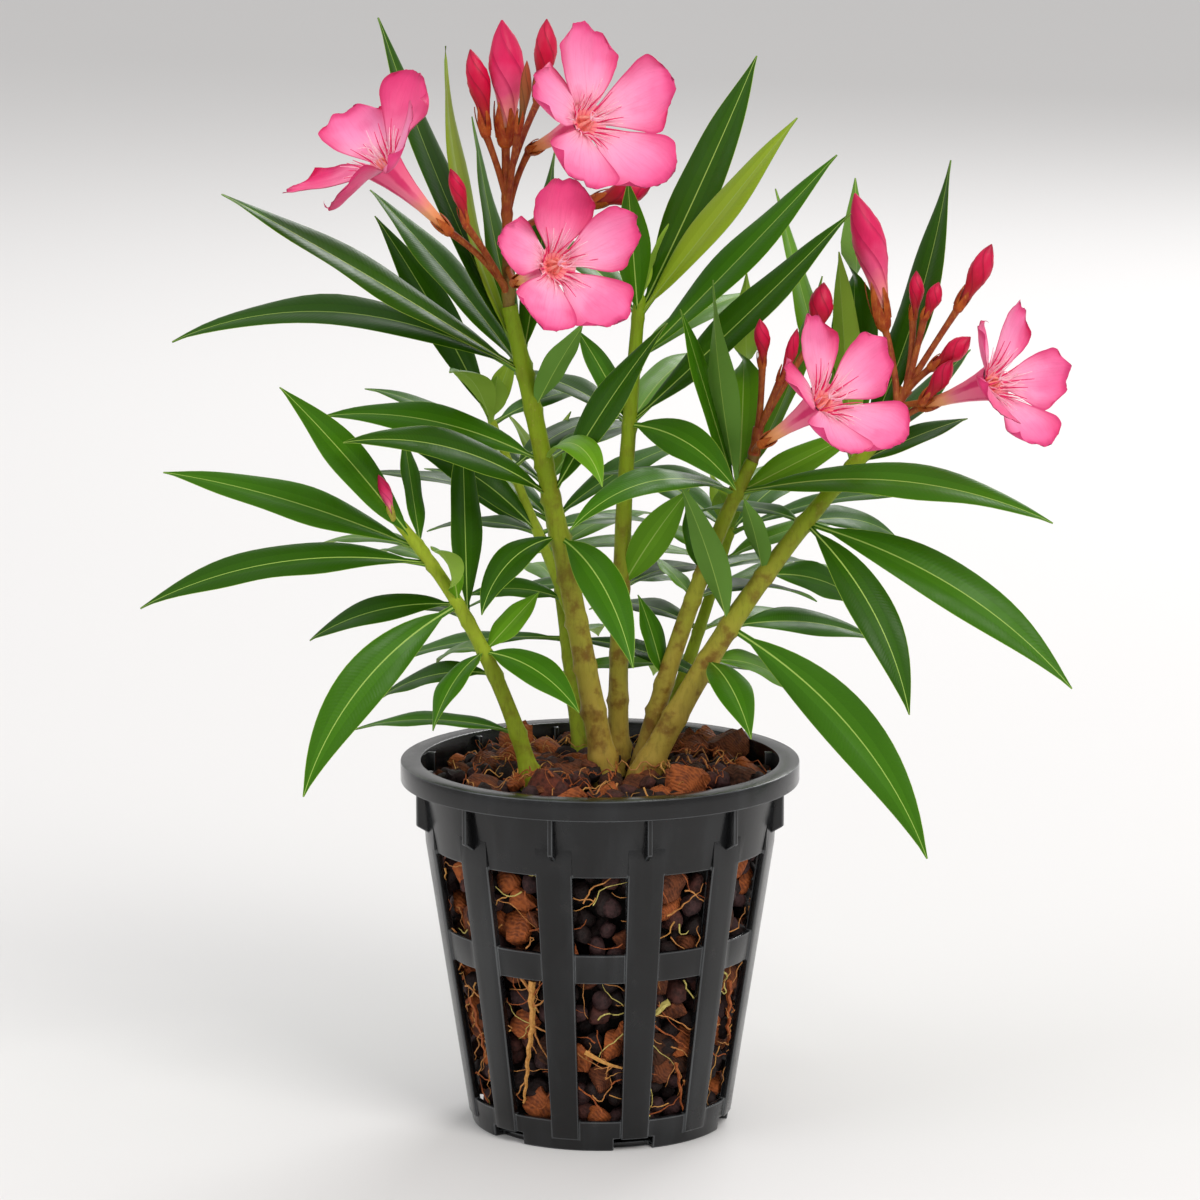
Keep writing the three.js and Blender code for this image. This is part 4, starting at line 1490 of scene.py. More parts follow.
@dataclass(frozen=True)
class Blossom:
    """One head: its stalks, open flowers, buds and the calyces under them."""

    head: Head
    stalk_radius: float = 1.9
    stalk_tip: float = 1.3
    pedicel: float = 1.0
    throat: float = 6.5
    mouth: float = 4.0
    cup: float = 14.0
    petal_width: float = 0.425
    broadest: float = 0.72
    usual: float = 0.97
    broad: float = 1.25
    petal_thickness: float = 0.42
    ruffle: float = 0.05
    ripple: float = 0.02
    twist: float = 0.36
    hollow: float = 0.2
    threads: int = 8
    fringe_radius: float = 4.4

    def tip(self) -> Array:
        """The end of the head's shoot."""
        return SHOOTS[self.head.shoot].at(1.0)

    def stalk_line(self) -> tuple[Array, Array]:
        """The main stalk's middle line.

        Returns:
            Its start and its end.
        """
        shoot = SHOOTS[self.head.shoot]
        rise = np.array(self.head.stalk, float)
        way = shoot.along(1.0)
        thick = min(self.stalk_radius, shoot.thick(1.0))
        lean = math.acos(min(1.0, float(way @ unit(rise))))
        return self.tip() + way * (GAP + thick * math.sin(lean)), self.tip() + rise

    def keep_off(self) -> tuple[Array, Array]:
        """What filling leaves stay clear of.

        Returns:
            The points, and how far each reaches.
        """
        start, end = self.stalk_line()
        listed = [(mix(start, end, t), self.stalk_radius) for t in (0, 0.25, 0.5, 0.75, 1)]
        for bloom in self.head.blooms:
            base, front = self.tip() + bloom.base, self.tip() + bloom.front
            listed += [(front, bloom.across / 2), (base, 4)]
        for bud in self.head.buds:
            base, front = self.tip() + bud.base, self.tip() + bud.front
            listed += [(base, bud.radius), (mix(base, front, 0.6), bud.radius), (front, 1)]
        return np.array([point for point, _ in listed]), np.array([radius for _, radius in listed])

    def curved(self, start: Array, lead: Array, end: Array, steps: int) -> Array:
        """A line from start to end that is drawn towards a lead point between them."""
        t = np.linspace(0, 1, steps)[:, None]
        return (1 - t) ** 2 * start + 2 * t * (1 - t) * lead + t**2 * end

    def pedicels(self, tray: Tray, dice: Dice) -> None:
        """Adds the main stalk and the stalks of flowers and buds, with a bract under each.

        Args:
            tray: where they go, with the finishes for stalks below and above.
            dice: what their small bends are drawn with.
        """
        start, end = self.stalk_line()
        shares = np.linspace(-1.6 / np.linalg.norm(end - start), 1.0, 22)
        joints = [one.at for one in (*self.head.blooms, *self.head.buds)]
        thick = min(self.stalk_radius, SHOOTS[self.head.shoot].thick(1.0))
        radii = mix(thick, self.stalk_tip, np.clip(shares, 0, 1))
        for joint in joints:
            off = (shares - joint) * np.linalg.norm(end - start)
            radii = radii * (1 + 0.18 * np.exp(-((off / 1.5) ** 2)))
        line = start + shares[:, None] * (end - start)
        low = max(2, int(len(shares) * (0.45 if self.head.shoot == "tall" else 0.3)))
        tube(tray, line[:low], radii[:low], 0, 12)
        tube(tray, line[low - 1 :], radii[low - 1 :], 1, 12)
        for one in (*self.head.blooms, *self.head.buds):
            base, front = self.tip() + one.base, self.tip() + one.front
            root = mix(start, end, one.at)
            into = unit(front - base)
            span = np.linalg.norm(base - root)
            lead = mix(root, base, 0.5) + 0.12 * span * unit(end - start) - 0.05 * span * into
            line = self.curved(root, lead, base + into * 0.8, 11)
            swell = self.pedicel * (1 + 0.35 * np.linspace(1, 0, 11) ** 3 + 0.3 * np.linspace(0, 1, 11) ** 4)
            tube(tray, line, swell, 1, 10)
            self.bract(tray, root, unit(line[3] - root), unit(end - start), dice)

    def bract(self, tray: Tray, root: Array, way: Array, up: Array, dice: Dice) -> None:
        """Adds a small pointed scale below a side stalk's root.

        Args:
            tray: where it goes.
            root: the side stalk's root.
            way: the way that the side stalk sets off.
            up: the way of the main stalk.
            dice: what its length is drawn with.
        """
        along = unit(way + 0.4 * up)
        side = unit(np.cross(along, up) + 1e-6)
        length = dice.between(4.0, 6.5)
        s = np.linspace(0, 1, 5)
        spine = root - up * 2.0 + along * (s * length)[:, None] - up * (0.6 * np.sin(np.pi * s))[:, None]
        half = 0.9 * (1 - s**1.6) + 0.05
        out = unit(np.cross(side, along))
        x = np.array((-1, 0, 1, 0))
        z = np.array((0, 0.35, 0, -0.35))
        ring = spine[:, None] + side * (half[:, None] * x)[:, :, None] + out * (half[:, None] * z)[:, :, None]
        tray.grid(ring, 2)

    def calyx(self, tray: Tray, axis: Axis, radius: float, length: float, kind: int) -> None:
        """Adds the cup under a flower or bud and its five pointed sepals.

        Args:
            tray: where it goes.
            axis: what it stands on.
            radius: the cup's radius.
            length: the sepals' length.
            kind: the slot of its finish.
        """
        heights = np.array((-0.3, 0.25, 1.0, 2.0, 3.0)) * length / 7
        radii = radius * np.array((0.5, 0.85, 1.0, 1.02, 0.95))
        cup = rings(radii[:, None], heights[:, None], even_angles(15))
        tray.grid(axis.place(cup), kind)
        s = np.linspace(0, 1, 6)[:, None]
        x = np.array((-1, -0.5, 0, 0.5, 1))[None, :]
        for k in range(5):
            half = radius * 0.72 * (1 - s**1.8) + 0.04
            out = radius * (1.0 + 0.32 * np.sin(np.pi * s * 0.8)) - 0.12 * radius * x**2
            front = np.stack([out, 0.2 * length + s * length * 0.8 + 0 * x, -x * half], 2)
            back = front[:, ::-1].copy()
            back[:, :, 0] -= 0.28
            ring = np.concatenate([front, back[:, 1:-1]], 1)
            tray.grid(axis.place(ring, 72 * k + 20), kind)

    def petal(self, tray: Tray, axis: Axis, turn: float, reach: float, kind: int, girth: float,
              dice: Dice) -> None:
        """Adds one petal.

        Args:
            tray: where it goes.
            axis: what the flower stands on.
            turn: the petal's angle about the axis, in degrees.
            reach: how far it runs out from the axis.
            kind: the slot of its finish.
            girth: its breadth as a share of a usual petal's.
            dice: what its ruffles are drawn with.
        """
        rows, columns = 21, 25
        s = np.linspace(0, 1, rows)[:, None]
        x = np.linspace(-1, 1, columns)[None, :]
        far = reach * dice.between(1.0, 1.06)
        widening = 0.2 + 0.8 * np.sin(0.5 * np.pi * np.minimum(1, s / self.broadest)) ** 1.15
        rounding = 1 - 0.26 * np.maximum(0, (s - self.broadest) / (1 - self.broadest)) ** 2
        half = reach * self.petal_width * girth * widening * rounding
        corner, slant = dice.between(0.03, 0.09), dice.between(0, 6.28)
        blunt = 1 - 0.25 * np.abs(x) ** 2.4 * s**2 + corner * x * s**3
        notch = 1 - dice.between(0.0, 0.05) * np.exp(-((x - dice.between(-0.3, 0.3)) ** 2) / 0.05) * s**6
        frill = 1 + (0.01 * np.sin(17 * x + 3 * slant) + 0.007 * np.sin(31 * x + 7 * slant)) * s**5
        out = self.mouth + (far - self.mouth) * s * blunt * notch * frill
        phase, count = dice.between(0, 6.28), dice.between(1.6, 2.8)
        ruffle = self.ruffle * reach * s**2 * np.sin(count * np.pi * x + phase) * np.abs(x)
        ripple = self.ripple * reach * s**3 * np.sin(6.5 * x + 2 * phase)
        droop = dice.between(0.0, 0.1) * reach * s**3.2
        twist = self.twist * x * half * np.minimum(1, 1.6 * s)
        hollow = self.hollow * half * (1 - x**2) * np.sin(np.pi * s)
        rise = self.cup * dice.between(0.9, 1.1) * s**0.7
        height = axis.length() * 0.92 + rise + ruffle + ripple - droop + twist - hollow
        side = -x * half * (1 + 0.03 * np.sin(9 * s + phase) + 0.012 * np.sin(29 * s + slant) * s)
        top = np.stack([np.broadcast_to(out, (rows, columns)), height, side], 2)
        under = top[:, ::-1].copy()
        under[:, :, 1] -= self.petal_thickness * (1 - 0.55 * s)
        ring = np.concatenate([top, under[:, 1:-1]], 1)
        shares = np.concatenate([(x[0] + 1) / 2, ((x[0] + 1) / 2)[::-1][1:-1]])
        tray.grid(axis.place(ring, turn)[:, ::-1], kind, across=shares[::-1])

    def flower(self, bloom: Bloom, number: int) -> None:
        """Makes one open flower as a piece of its own.

        Args:
            bloom: its place and size.
            number: which flower of the head it is.
        """
        dice = Dice(40 + 7 * number + len(self.head.name))
        axis = Axis(self.tip() + bloom.base, self.tip() + bloom.front)
        length = axis.length()
        tray = Tray(FLOWER_FINISHES)
        for k in range(5):
            turn = bloom.spin + 72 * k + dice.between(-3, 3)
            kind = FlowerPart.DEEP_PETAL if k in bloom.deep else FlowerPart.PETAL
            girth = self.broad if k in bloom.wide else self.usual
            self.petal(tray, axis, turn, bloom.across / 2, kind.value, girth, dice)
            self.fringe(tray, axis, turn, dice)
        angles = even_angles(20)
        outer = np.array((1.5, 1.9, 2.3, 3.3, 4.6, self.throat))
        heights = length * np.array((0.1, 0.25, 0.4, 0.6, 0.78, 0.97))
        wall = rings(outer[:, None], heights[:, None], angles)
        wall[:, :, 0] *= 1 + 0.05 * np.cos(5 * angles)
        tray.grid(axis.place(wall), FlowerPart.TUBE.value, caps=False)
        inside = np.array((0.2, 2.2, 4.2, self.throat - 0.1))
        depths = length * np.array((0.87, 0.885, 0.93, 0.985))
        lining = rings(inside[:, None], depths[:, None], angles)
        tray.grid(axis.place(lining)[:, ::-1], FlowerPart.THROAT.value, caps=False)
        self.stamens(tray, axis, dice)
        self.calyx(tray, axis, 1.9, min(8.0, 0.32 * length), FlowerPart.CALYX.value)
        tray.build(f"{self.head.shoot}_flower_{number + 1}", "blossom", [self.head.name], 60.0)

    def fringe(self, tray: Tray, axis: Axis, turn: float, dice: Dice) -> None:
        """Adds the fringe of threads at the root of one petal.

        Args:
            tray: where it goes.
            axis: what the flower stands on.
            turn: the petal's angle about the axis, in degrees.
            dice: what the threads' bends are drawn with.
        """
        for k in range(self.threads):
            spread = (k - (self.threads - 1) / 2) * 8 + dice.between(-3, 3)
            tall, out = dice.between(5.0, 9.0), dice.between(2.5, 8.0)
            kind = FlowerPart.DEEP_THREAD if k % 3 == 1 else FlowerPart.PALE_THREAD
            t = np.linspace(0, 1, 7)
            aside = dice.between(-1.5, 1.5) * t**2
            line = np.stack([self.fringe_radius + out * t**1.3, 0.93 * axis.length() + tall * t, aside], 1)
            tube(tray, axis.place(line, turn + spread), mix(0.36, 0.1, t**0.8), kind.value, 4)

    def stamens(self, tray: Tray, axis: Axis, dice: Dice) -> None:
        """Adds the cone of anthers in the throat and the feathery threads that end them.

        Args:
            tray: where they go.
            axis: what the flower stands on.
            dice: what the threads' curls are drawn with.
        """
        length = axis.length()
        for k in range(5):
            t = np.linspace(0, 1, 8)
            out = mix(2.2, 0.5, t) + 0.8 * np.sin(np.pi * t)
            line = np.stack([out, length * mix(0.8, 1.03, t), 0.0 * t], 1)
            swell = 0.62 * np.sin(np.pi * np.clip(t * 0.9 + 0.08, 0, 1)) + 0.1
            tube(tray, axis.place(line, 72 * k + 36), swell, FlowerPart.ANTHER.value, 6)
            curl = dice.between(0.5, 2.5)
            tail = np.stack([0.5 + curl * t**2, length * 1.02 + 6.5 * t, curl * np.sin(3 * t)], 1)
            tail = axis.place(tail, 72 * k + 36)
            tube(tray, tail, mix(0.3, 0.1, t), FlowerPart.PALE_THREAD.value, 4)

    def bud(self, tray: Tray, bud: Bud, kind: int, dice: Dice) -> None:
        """Adds one bud, its furled petals overlapping in a spiral, on its calyx.

        Args:
            tray: where it goes.
            bud: its place and size.
            kind: the slot of its finish.
            dice: what its turn is drawn with.
        """
        axis = Axis(self.tip() + bud.base, self.tip() + bud.front)
        length = axis.length()
        h = np.linspace(0.12, 1.0, 22)
        belly = np.interp(h, (0.12, 0.25, 0.36, 0.5, 0.62, 0.75, 0.86, 0.94, 1.0),
                          (0.4, 0.5, 0.6, 0.88, 1.0, 0.9, 0.64, 0.33, 0.05))
        angles = even_angles(25)
        turn = dice.between(0, 6.28)
        share = (5 * (angles[None, :] + turn) / (2 * math.pi) + 5 * BudFinish.turns * h[:, None]) % 1
        crease = 1 + 0.1 * (share - 0.5) * np.clip((h[:, None] - 0.25) * 4, 0, 1)
        skin = rings(bud.radius * belly[:, None] * crease, (h * length)[:, None], angles)
        skin[:, :, 0] += 0.03 * length * np.sin(np.pi * h)[:, None]
        tray.grid(axis.place(skin), kind)
        self.calyx(tray, axis, max(1.2, 0.5 * bud.radius), 0.36 * length, 3)

    def build(self) -> None:
        """Makes the head's pieces."""
        dice = Dice(500 + len(self.head.buds))
        stalks = Tray([STALK_LOW, STALK_HIGH, CALYX])
        self.pedicels(stalks, dice)
        stalks.build(self.head.shoot + "_stalks", "blossom", [self.head.name], 60.0)
        for number, bloom in enumerate(self.head.blooms):
            self.flower(bloom, number)
        opening = bool(self.head.blooms)
        buds = Tray([BUD_LARGE, BUD_SMALL, BUD_BROWN, CALYX if opening else CALYX_GREEN])
        for bud in self.head.buds:
            kind = 0 if bud.radius >= 5 or not opening else 2 if bud.radius < 2 else 1
            self.bud(buds, bud, kind, dice)
        buds.build(self.head.shoot + "_buds", "blossom", [self.head.name], 50.0)


class FlowerPart(Enum):
    """The parts of an open flower, numbered as their finishes are."""

    PETAL = 0
    DEEP_PETAL = 1
    THROAT = 2
    TUBE = 3
    PALE_THREAD = 4
    DEEP_THREAD = 5
    ANTHER = 6
    CALYX = 7


BLOOMING = {head.shoot for head in HEADS}
STALK_LOW = StalkFinish("stalk_green", "#7c6a2e", "#6c4a22", "#90883f")
STALK_HIGH = StalkFinish("stalk_red", "#9f5424", "#83321a", "#c98f3e")
CALYX = StalkFinish("calyx_brown", "#b35a1e", "#8f2f16", "#d39440")
CALYX_GREEN = StalkFinish("calyx_green", "#a9a03c", "#8f8a2e", "#c4b858")
ROSE_PETAL = PetalFinish("petal_rose", (
    (0.0, "#f5a3a8"), (0.12, "#f9aecb"), (0.3, "#f77fab"), (0.6, "#f2588f"), (0.86, "#ec4683"),
    (1.0, "#de3777"),
), edge="#d42f70", streak="#c52a62", bloom="#e33a7a")
THREAD_PALE = StalkFinish("thread_pale", "#ffdde6", "#fbaac8", "#fff0f0")
THREAD_DEEP = StalkFinish("thread_deep", "#f0347c", "#dc1f66", "#fb6a9c")
ANTHER = StalkFinish("anther_peach", "#feb7a2", "#f58784", "#ffdcc8")
BUD_LARGE = BudFinish("bud_pink", (
    (0.0, "#f2c79a"), (0.16, "#f29a90"), (0.36, "#e85584"), (0.65, "#d91f5c"), (1.0, "#c0104a"),
), "#b01048")
BUD_SMALL = BudFinish("bud_crimson", (
    (0.0, "#8e3a1c"), (0.3, "#b0182a"), (0.55, "#c60a3c"), (0.85, "#ce1348"), (1.0, "#9c0c30"),
), "#8a0a2a")
BUD_BROWN = BudFinish("bud_brown", ((0.0, "#6b5a2a"), (0.4, "#8c5a2c"), (1.0, "#a2482a")), "#5c3a1e")
FLOWER_FINISHES = (PetalFinish(), ROSE_PETAL, ThroatFinish(), TubeFinish(), THREAD_PALE, THREAD_DEEP, ANTHER,
                   CALYX)


# ---- Pot -----------------------------------------------------------------------------------------


@dataclass(frozen=True)
class NetPot:
    """The slotted nursery pot, in millimetres."""

    sectors: int = 120
    foot: float = 42.0
    shoulder: float = 59.5
    shoulder_height: float = 113.8
    wall: float = 1.8
    rim: float = 65.0
    lip: float = 1.8
    columns: int = 12
    window_half: float = 9.0
    windows: tuple[tuple[float, float], ...] = ((10.0, 57.7), (67.3, 93.6))
    bar_half: float = 6.0
    bar_span: tuple[float, float] = (4.0, 94.4)
    bar_end: float = 103.0
    bar_proud: float = 0.8
    bar_first: float = 15.0
    notches: int = 6
    notch_first: float = 15.0
    notch_half: float = 9.0
    notch_height: float = 4.0
    notch_inner: float = 38.5
    drain: tuple[float, float] = (16.0, 34.0)
    drains: int = 6
    drain_first: float = 30.0
    drain_half: float = 6.0
    fin_foot: float = 98.0
    fin_reach: float = 61.5
    fin_sunk: float = 1.2
    fin_width: float = 1.7
    fin_slope: float = 3.5
    edge: float = 0.4

    def wall_radius(self, z: float) -> float:
        """The outside radius at a height."""
        return mix(self.foot, self.shoulder, z / self.shoulder_height)

    def outside(self) -> list[tuple[float, float]]:
        """The outer face, from the floor's middle up the wall and round the rim.

        Returns:
            The radius and height of each ring.
        """
        levels = (self.notch_height, self.windows[0][0], self.windows[0][1], self.windows[1][0],
                  self.windows[1][1], self.bar_span[1], self.bar_end)
        under = POT_HEIGHT - self.lip
        flat = [(self.drain[0], 0.0), (self.drain[1], 0.0), (self.notch_inner, 0.0), (self.foot, 0.0)]
        wall = [(self.wall_radius(z), z) for z in levels]
        top = [(self.shoulder, self.shoulder_height), (self.shoulder + 0.5, under),
               (self.rim - self.lip, under), (self.rim - self.lip, self.shoulder_height)]
        return flat + wall + top

    @staticmethod
    def place_of(face: bmesh.types.BMFace) -> Triple:
        """A face's angle from the front in degrees, and its radius and height in millimetres."""
        c = face.calc_center_median() / MM
        return math.degrees(math.atan2(c.x, -c.y)) % 360, math.hypot(c.x, c.y), c.z

    @staticmethod
    def near(angle: float, first: float, count: int, half: float) -> bool:
        """Whether an angle lies within a half angle of one of several even places."""
        pitch = 360 / count
        return abs((angle - first + pitch / 2) % pitch - pitch / 2) < half

    def shell(self) -> Piece:
        """Draws up the outer face ring by ring and cuts its openings.

        Returns:
            The outer face as a pot without a wall.
        """
        rings = self.outside()
        radius, level = rings[0]
        deselect()
        bpy.ops.mesh.primitive_circle_add(vertices=self.sectors, radius=radius * MM, location=(0, 0, 0))
        pot = bpy.context.object
        bpy.ops.object.mode_set(mode="EDIT")
        bpy.ops.mesh.select_all(action="SELECT")
        for r, z in rings[1:]:
            bpy.ops.mesh.extrude_region_move(TRANSFORM_OT_translate={"value": (0, 0, (z - level) * MM)})
            bpy.ops.transform.resize(value=(r / radius, r / radius, 1), center_override=(0, 0, 0))
            radius, level = r, z
        self.fill_middle(pot)
        self.open_up(pot)
        return pot

    def fill_middle(self, pot: Piece) -> None:
        """Closes the floor inside the drain slots and turns every face outwards.

        Args:
            pot: the pot's outer face, in edit mode.
        """
        inner = self.drain[0] * MM * 1.01
        select_where(pot, "EDGE", lambda edge: edge.is_boundary and edge.verts[0].co.length < inner)
        bpy.ops.mesh.edge_face_add()
        bpy.ops.mesh.select_all(action="SELECT")
        bpy.ops.mesh.normals_make_consistent(inside=False)
        work = bmesh.from_edit_mesh(pot.data)
        middle = min(work.faces, key=lambda face: face.calc_center_median().length)
        if middle.normal.z > 0:
            bpy.ops.mesh.flip_normals()

    def open_up(self, pot: Piece) -> None:
        """Cuts the windows, foot notches and drain slots out of the outer face.

        Args:
            pot: the pot's outer face, in edit mode.
        """

        def opening(face: bmesh.types.BMFace) -> bool:
            """Whether a face lies in an opening.

            Args:
                face: the face.

            Returns:
                Whether it does.
            """
            angle, r, z = self.place_of(face)
            row = any(low < z < high for low, high in self.windows) and r < self.rim - 3
            window = row and self.near(angle, 0, self.columns, self.window_half)
            foot = z < self.notch_height and self.notch_inner < r < self.shoulder
            notch = foot and self.near(angle, self.notch_first, self.notches, self.notch_half)
            floor = z < 0.1 and self.drain[0] < r < self.drain[1]
            drain = floor and self.near(angle, self.drain_first, self.drains, self.drain_half)
            return window or notch or drain

        select_where(pot, "FACE", opening)
        bpy.ops.mesh.delete(type="FACE")
        bpy.ops.object.mode_set(mode="OBJECT")

    def thicken(self, pot: Piece) -> None:
        """Gives the outer face its wall and raises the bars between the windows.

        Args:
            pot: the pot's outer face.
        """
        shell = pot.modifiers.new("wall", "SOLIDIFY")
        shell.thickness = self.wall * MM
        shell.offset = -1
        shell.use_even_offset = True
        bpy.ops.object.modifier_apply(modifier=shell.name)
        bpy.ops.object.mode_set(mode="EDIT")

        def bar(face: bmesh.types.BMFace) -> bool:
            """Whether a face is the outside of a bar.

            Args:
                face: the face.

            Returns:
                Whether it is.
            """
            angle, r, z = self.place_of(face)
            turn = math.radians(angle)
            outward = face.normal.x * math.sin(turn) - face.normal.y * math.cos(turn) > 0.7
            spans = self.bar_span[0] < z < self.bar_end and r > self.wall_radius(z) - 0.4
            return spans and outward and self.near(angle, self.bar_first, self.columns, self.bar_half)

        select_where(pot, "FACE", bar)
        bpy.ops.mesh.extrude_region_shrink_fatten(TRANSFORM_OT_shrink_fatten={"value": self.bar_proud * MM})
        end = self.wall_radius(self.bar_end)

        def upper_end(vertex: bmesh.types.BMVert) -> bool:
            """Whether a corner is one of a bar's upper ends."""
            raised = math.hypot(vertex.co.x, vertex.co.y) / MM > end + 0.5 * self.bar_proud
            return raised and abs(vertex.co.z / MM - self.bar_end) < 1.0

        select_where(pot, "VERT", upper_end)
        flush = (end + 0.06) / (end + self.bar_proud)
        bpy.ops.transform.resize(value=(flush, flush, 1), center_override=(0, 0, 0))
        bpy.ops.object.mode_set(mode="OBJECT")

    def fin(self) -> Piece:
        """Makes one of the small brackets that stand under the rim.

        Returns:
            The bracket, facing the front.
        """
        low, high = self.fin_foot, POT_HEIGHT - 1.0
        root = self.wall_radius(low) - self.fin_sunk
        deselect()
        middle = (0, -(root + self.fin_reach) / 2 * MM, (low + high) / 2 * MM)
        bpy.ops.mesh.primitive_cube_add(size=1, location=middle)
        fin = bpy.context.object
        bpy.ops.object.mode_set(mode="EDIT")
        size = (self.fin_width * MM, (self.fin_reach - root) * MM, (high - low) * MM)
        bpy.ops.transform.resize(value=size)
        select_where(fin, "EDGE", lambda edge: all(v.co.y < 0 and v.co.z < 0 for v in edge.verts))
        bpy.ops.transform.translate(value=(0, 0, self.fin_slope * MM))
        bpy.ops.object.mode_set(mode="OBJECT")
        bpy.ops.object.transform_apply(location=True, rotation=True, scale=True)
        return fin

    def brackets(self, pot: Piece) -> None:
        """Joins a bracket above each bar to the pot.

        Args:
            pot: the pot.
        """
        model = self.fin()
        pieces = []
        for i in range(self.columns):
            copy = model.copy()
            copy.data = model.data.copy()
            bpy.context.collection.objects.link(copy)
            copy.rotation_euler.z = math.radians((i + 0.5) * 360 / self.columns)
            pieces.append(copy)
        bpy.data.objects.remove(model, do_unlink=True)
        deselect()
        for piece in pieces:
            piece.select_set(True)
        bpy.context.view_layer.objects.active = pieces[0]
        bpy.ops.object.transform_apply(location=True, rotation=True, scale=True)
        pot.select_set(True)
        bpy.context.view_layer.objects.active = pot
        bpy.ops.object.join()

    def mark_edges(self, pot: Piece) -> None:
        """Marks the pot's sharp edges for rounding, but not those of the wedges that end the bars.

        Args:
            pot: the pot.
        """
        work = bmesh.new()
        work.from_mesh(pot.data)
        weight = work.edges.layers.float.new("bevel_weight_edge")
        low, high = self.windows[1][1] + 0.2, self.bar_end + 0.5
        for edge in work.edges:
            ends = [v.co / MM for v in edge.verts]
            wedge = all(low < c.z < high and math.hypot(c.x, c.y) < self.wall_radius(c.z) + 1.2 for c in ends)
            if len(edge.link_faces) == 2 and edge.calc_face_angle() > math.radians(35) and not wedge:
                edge[weight] = 1.0
        work.to_mesh(pot.data)
        work.free()

    def build(self) -> None:
        """Makes the pot."""
        pot = self.shell()
        self.thicken(pot)
        self.brackets(pot)
        pot.name = pot.data.name = "net_pot"
        for finish in (PlasticFinish(), PAINTED_EDGE_HIGHLIGHTS):
            pot.data.materials.append(material(finish))
        self.mark_edges(pot)
        soften = pot.modifiers.new("edges", "BEVEL")
        # the rounded edges take the second slot, a lighter plastic painted on as edge highlights
        soften.material = 1
        soften.width = self.edge * MM
        soften.segments = 2
        soften.limit_method = "WEIGHT"
        soften.use_clamp_overlap = False
        bpy.ops.object.modifier_apply(modifier=soften.name)
        bpy.ops.object.shade_smooth_by_angle(angle=math.radians(38))
        settle(pot, ["pot"])


# Painted highlight: a lighter plastic for the rounded edges, standing in for the light that catches them.
PAINTED_EDGE_HIGHLIGHTS = PlasticFinish("painted_edge_highlights", "#2c2e30", "#3c3f41", "#505355", specular=0.6)


# ---- Potting mix ---------------------------------------------------------------------------------


class Crumb(Enum):
    """What a crumb of the potting mix is."""

    BARK = "bark"
    STONE = "stone"


Models = dict[Crumb, tuple[Array, list[tuple[int, ...]]]]


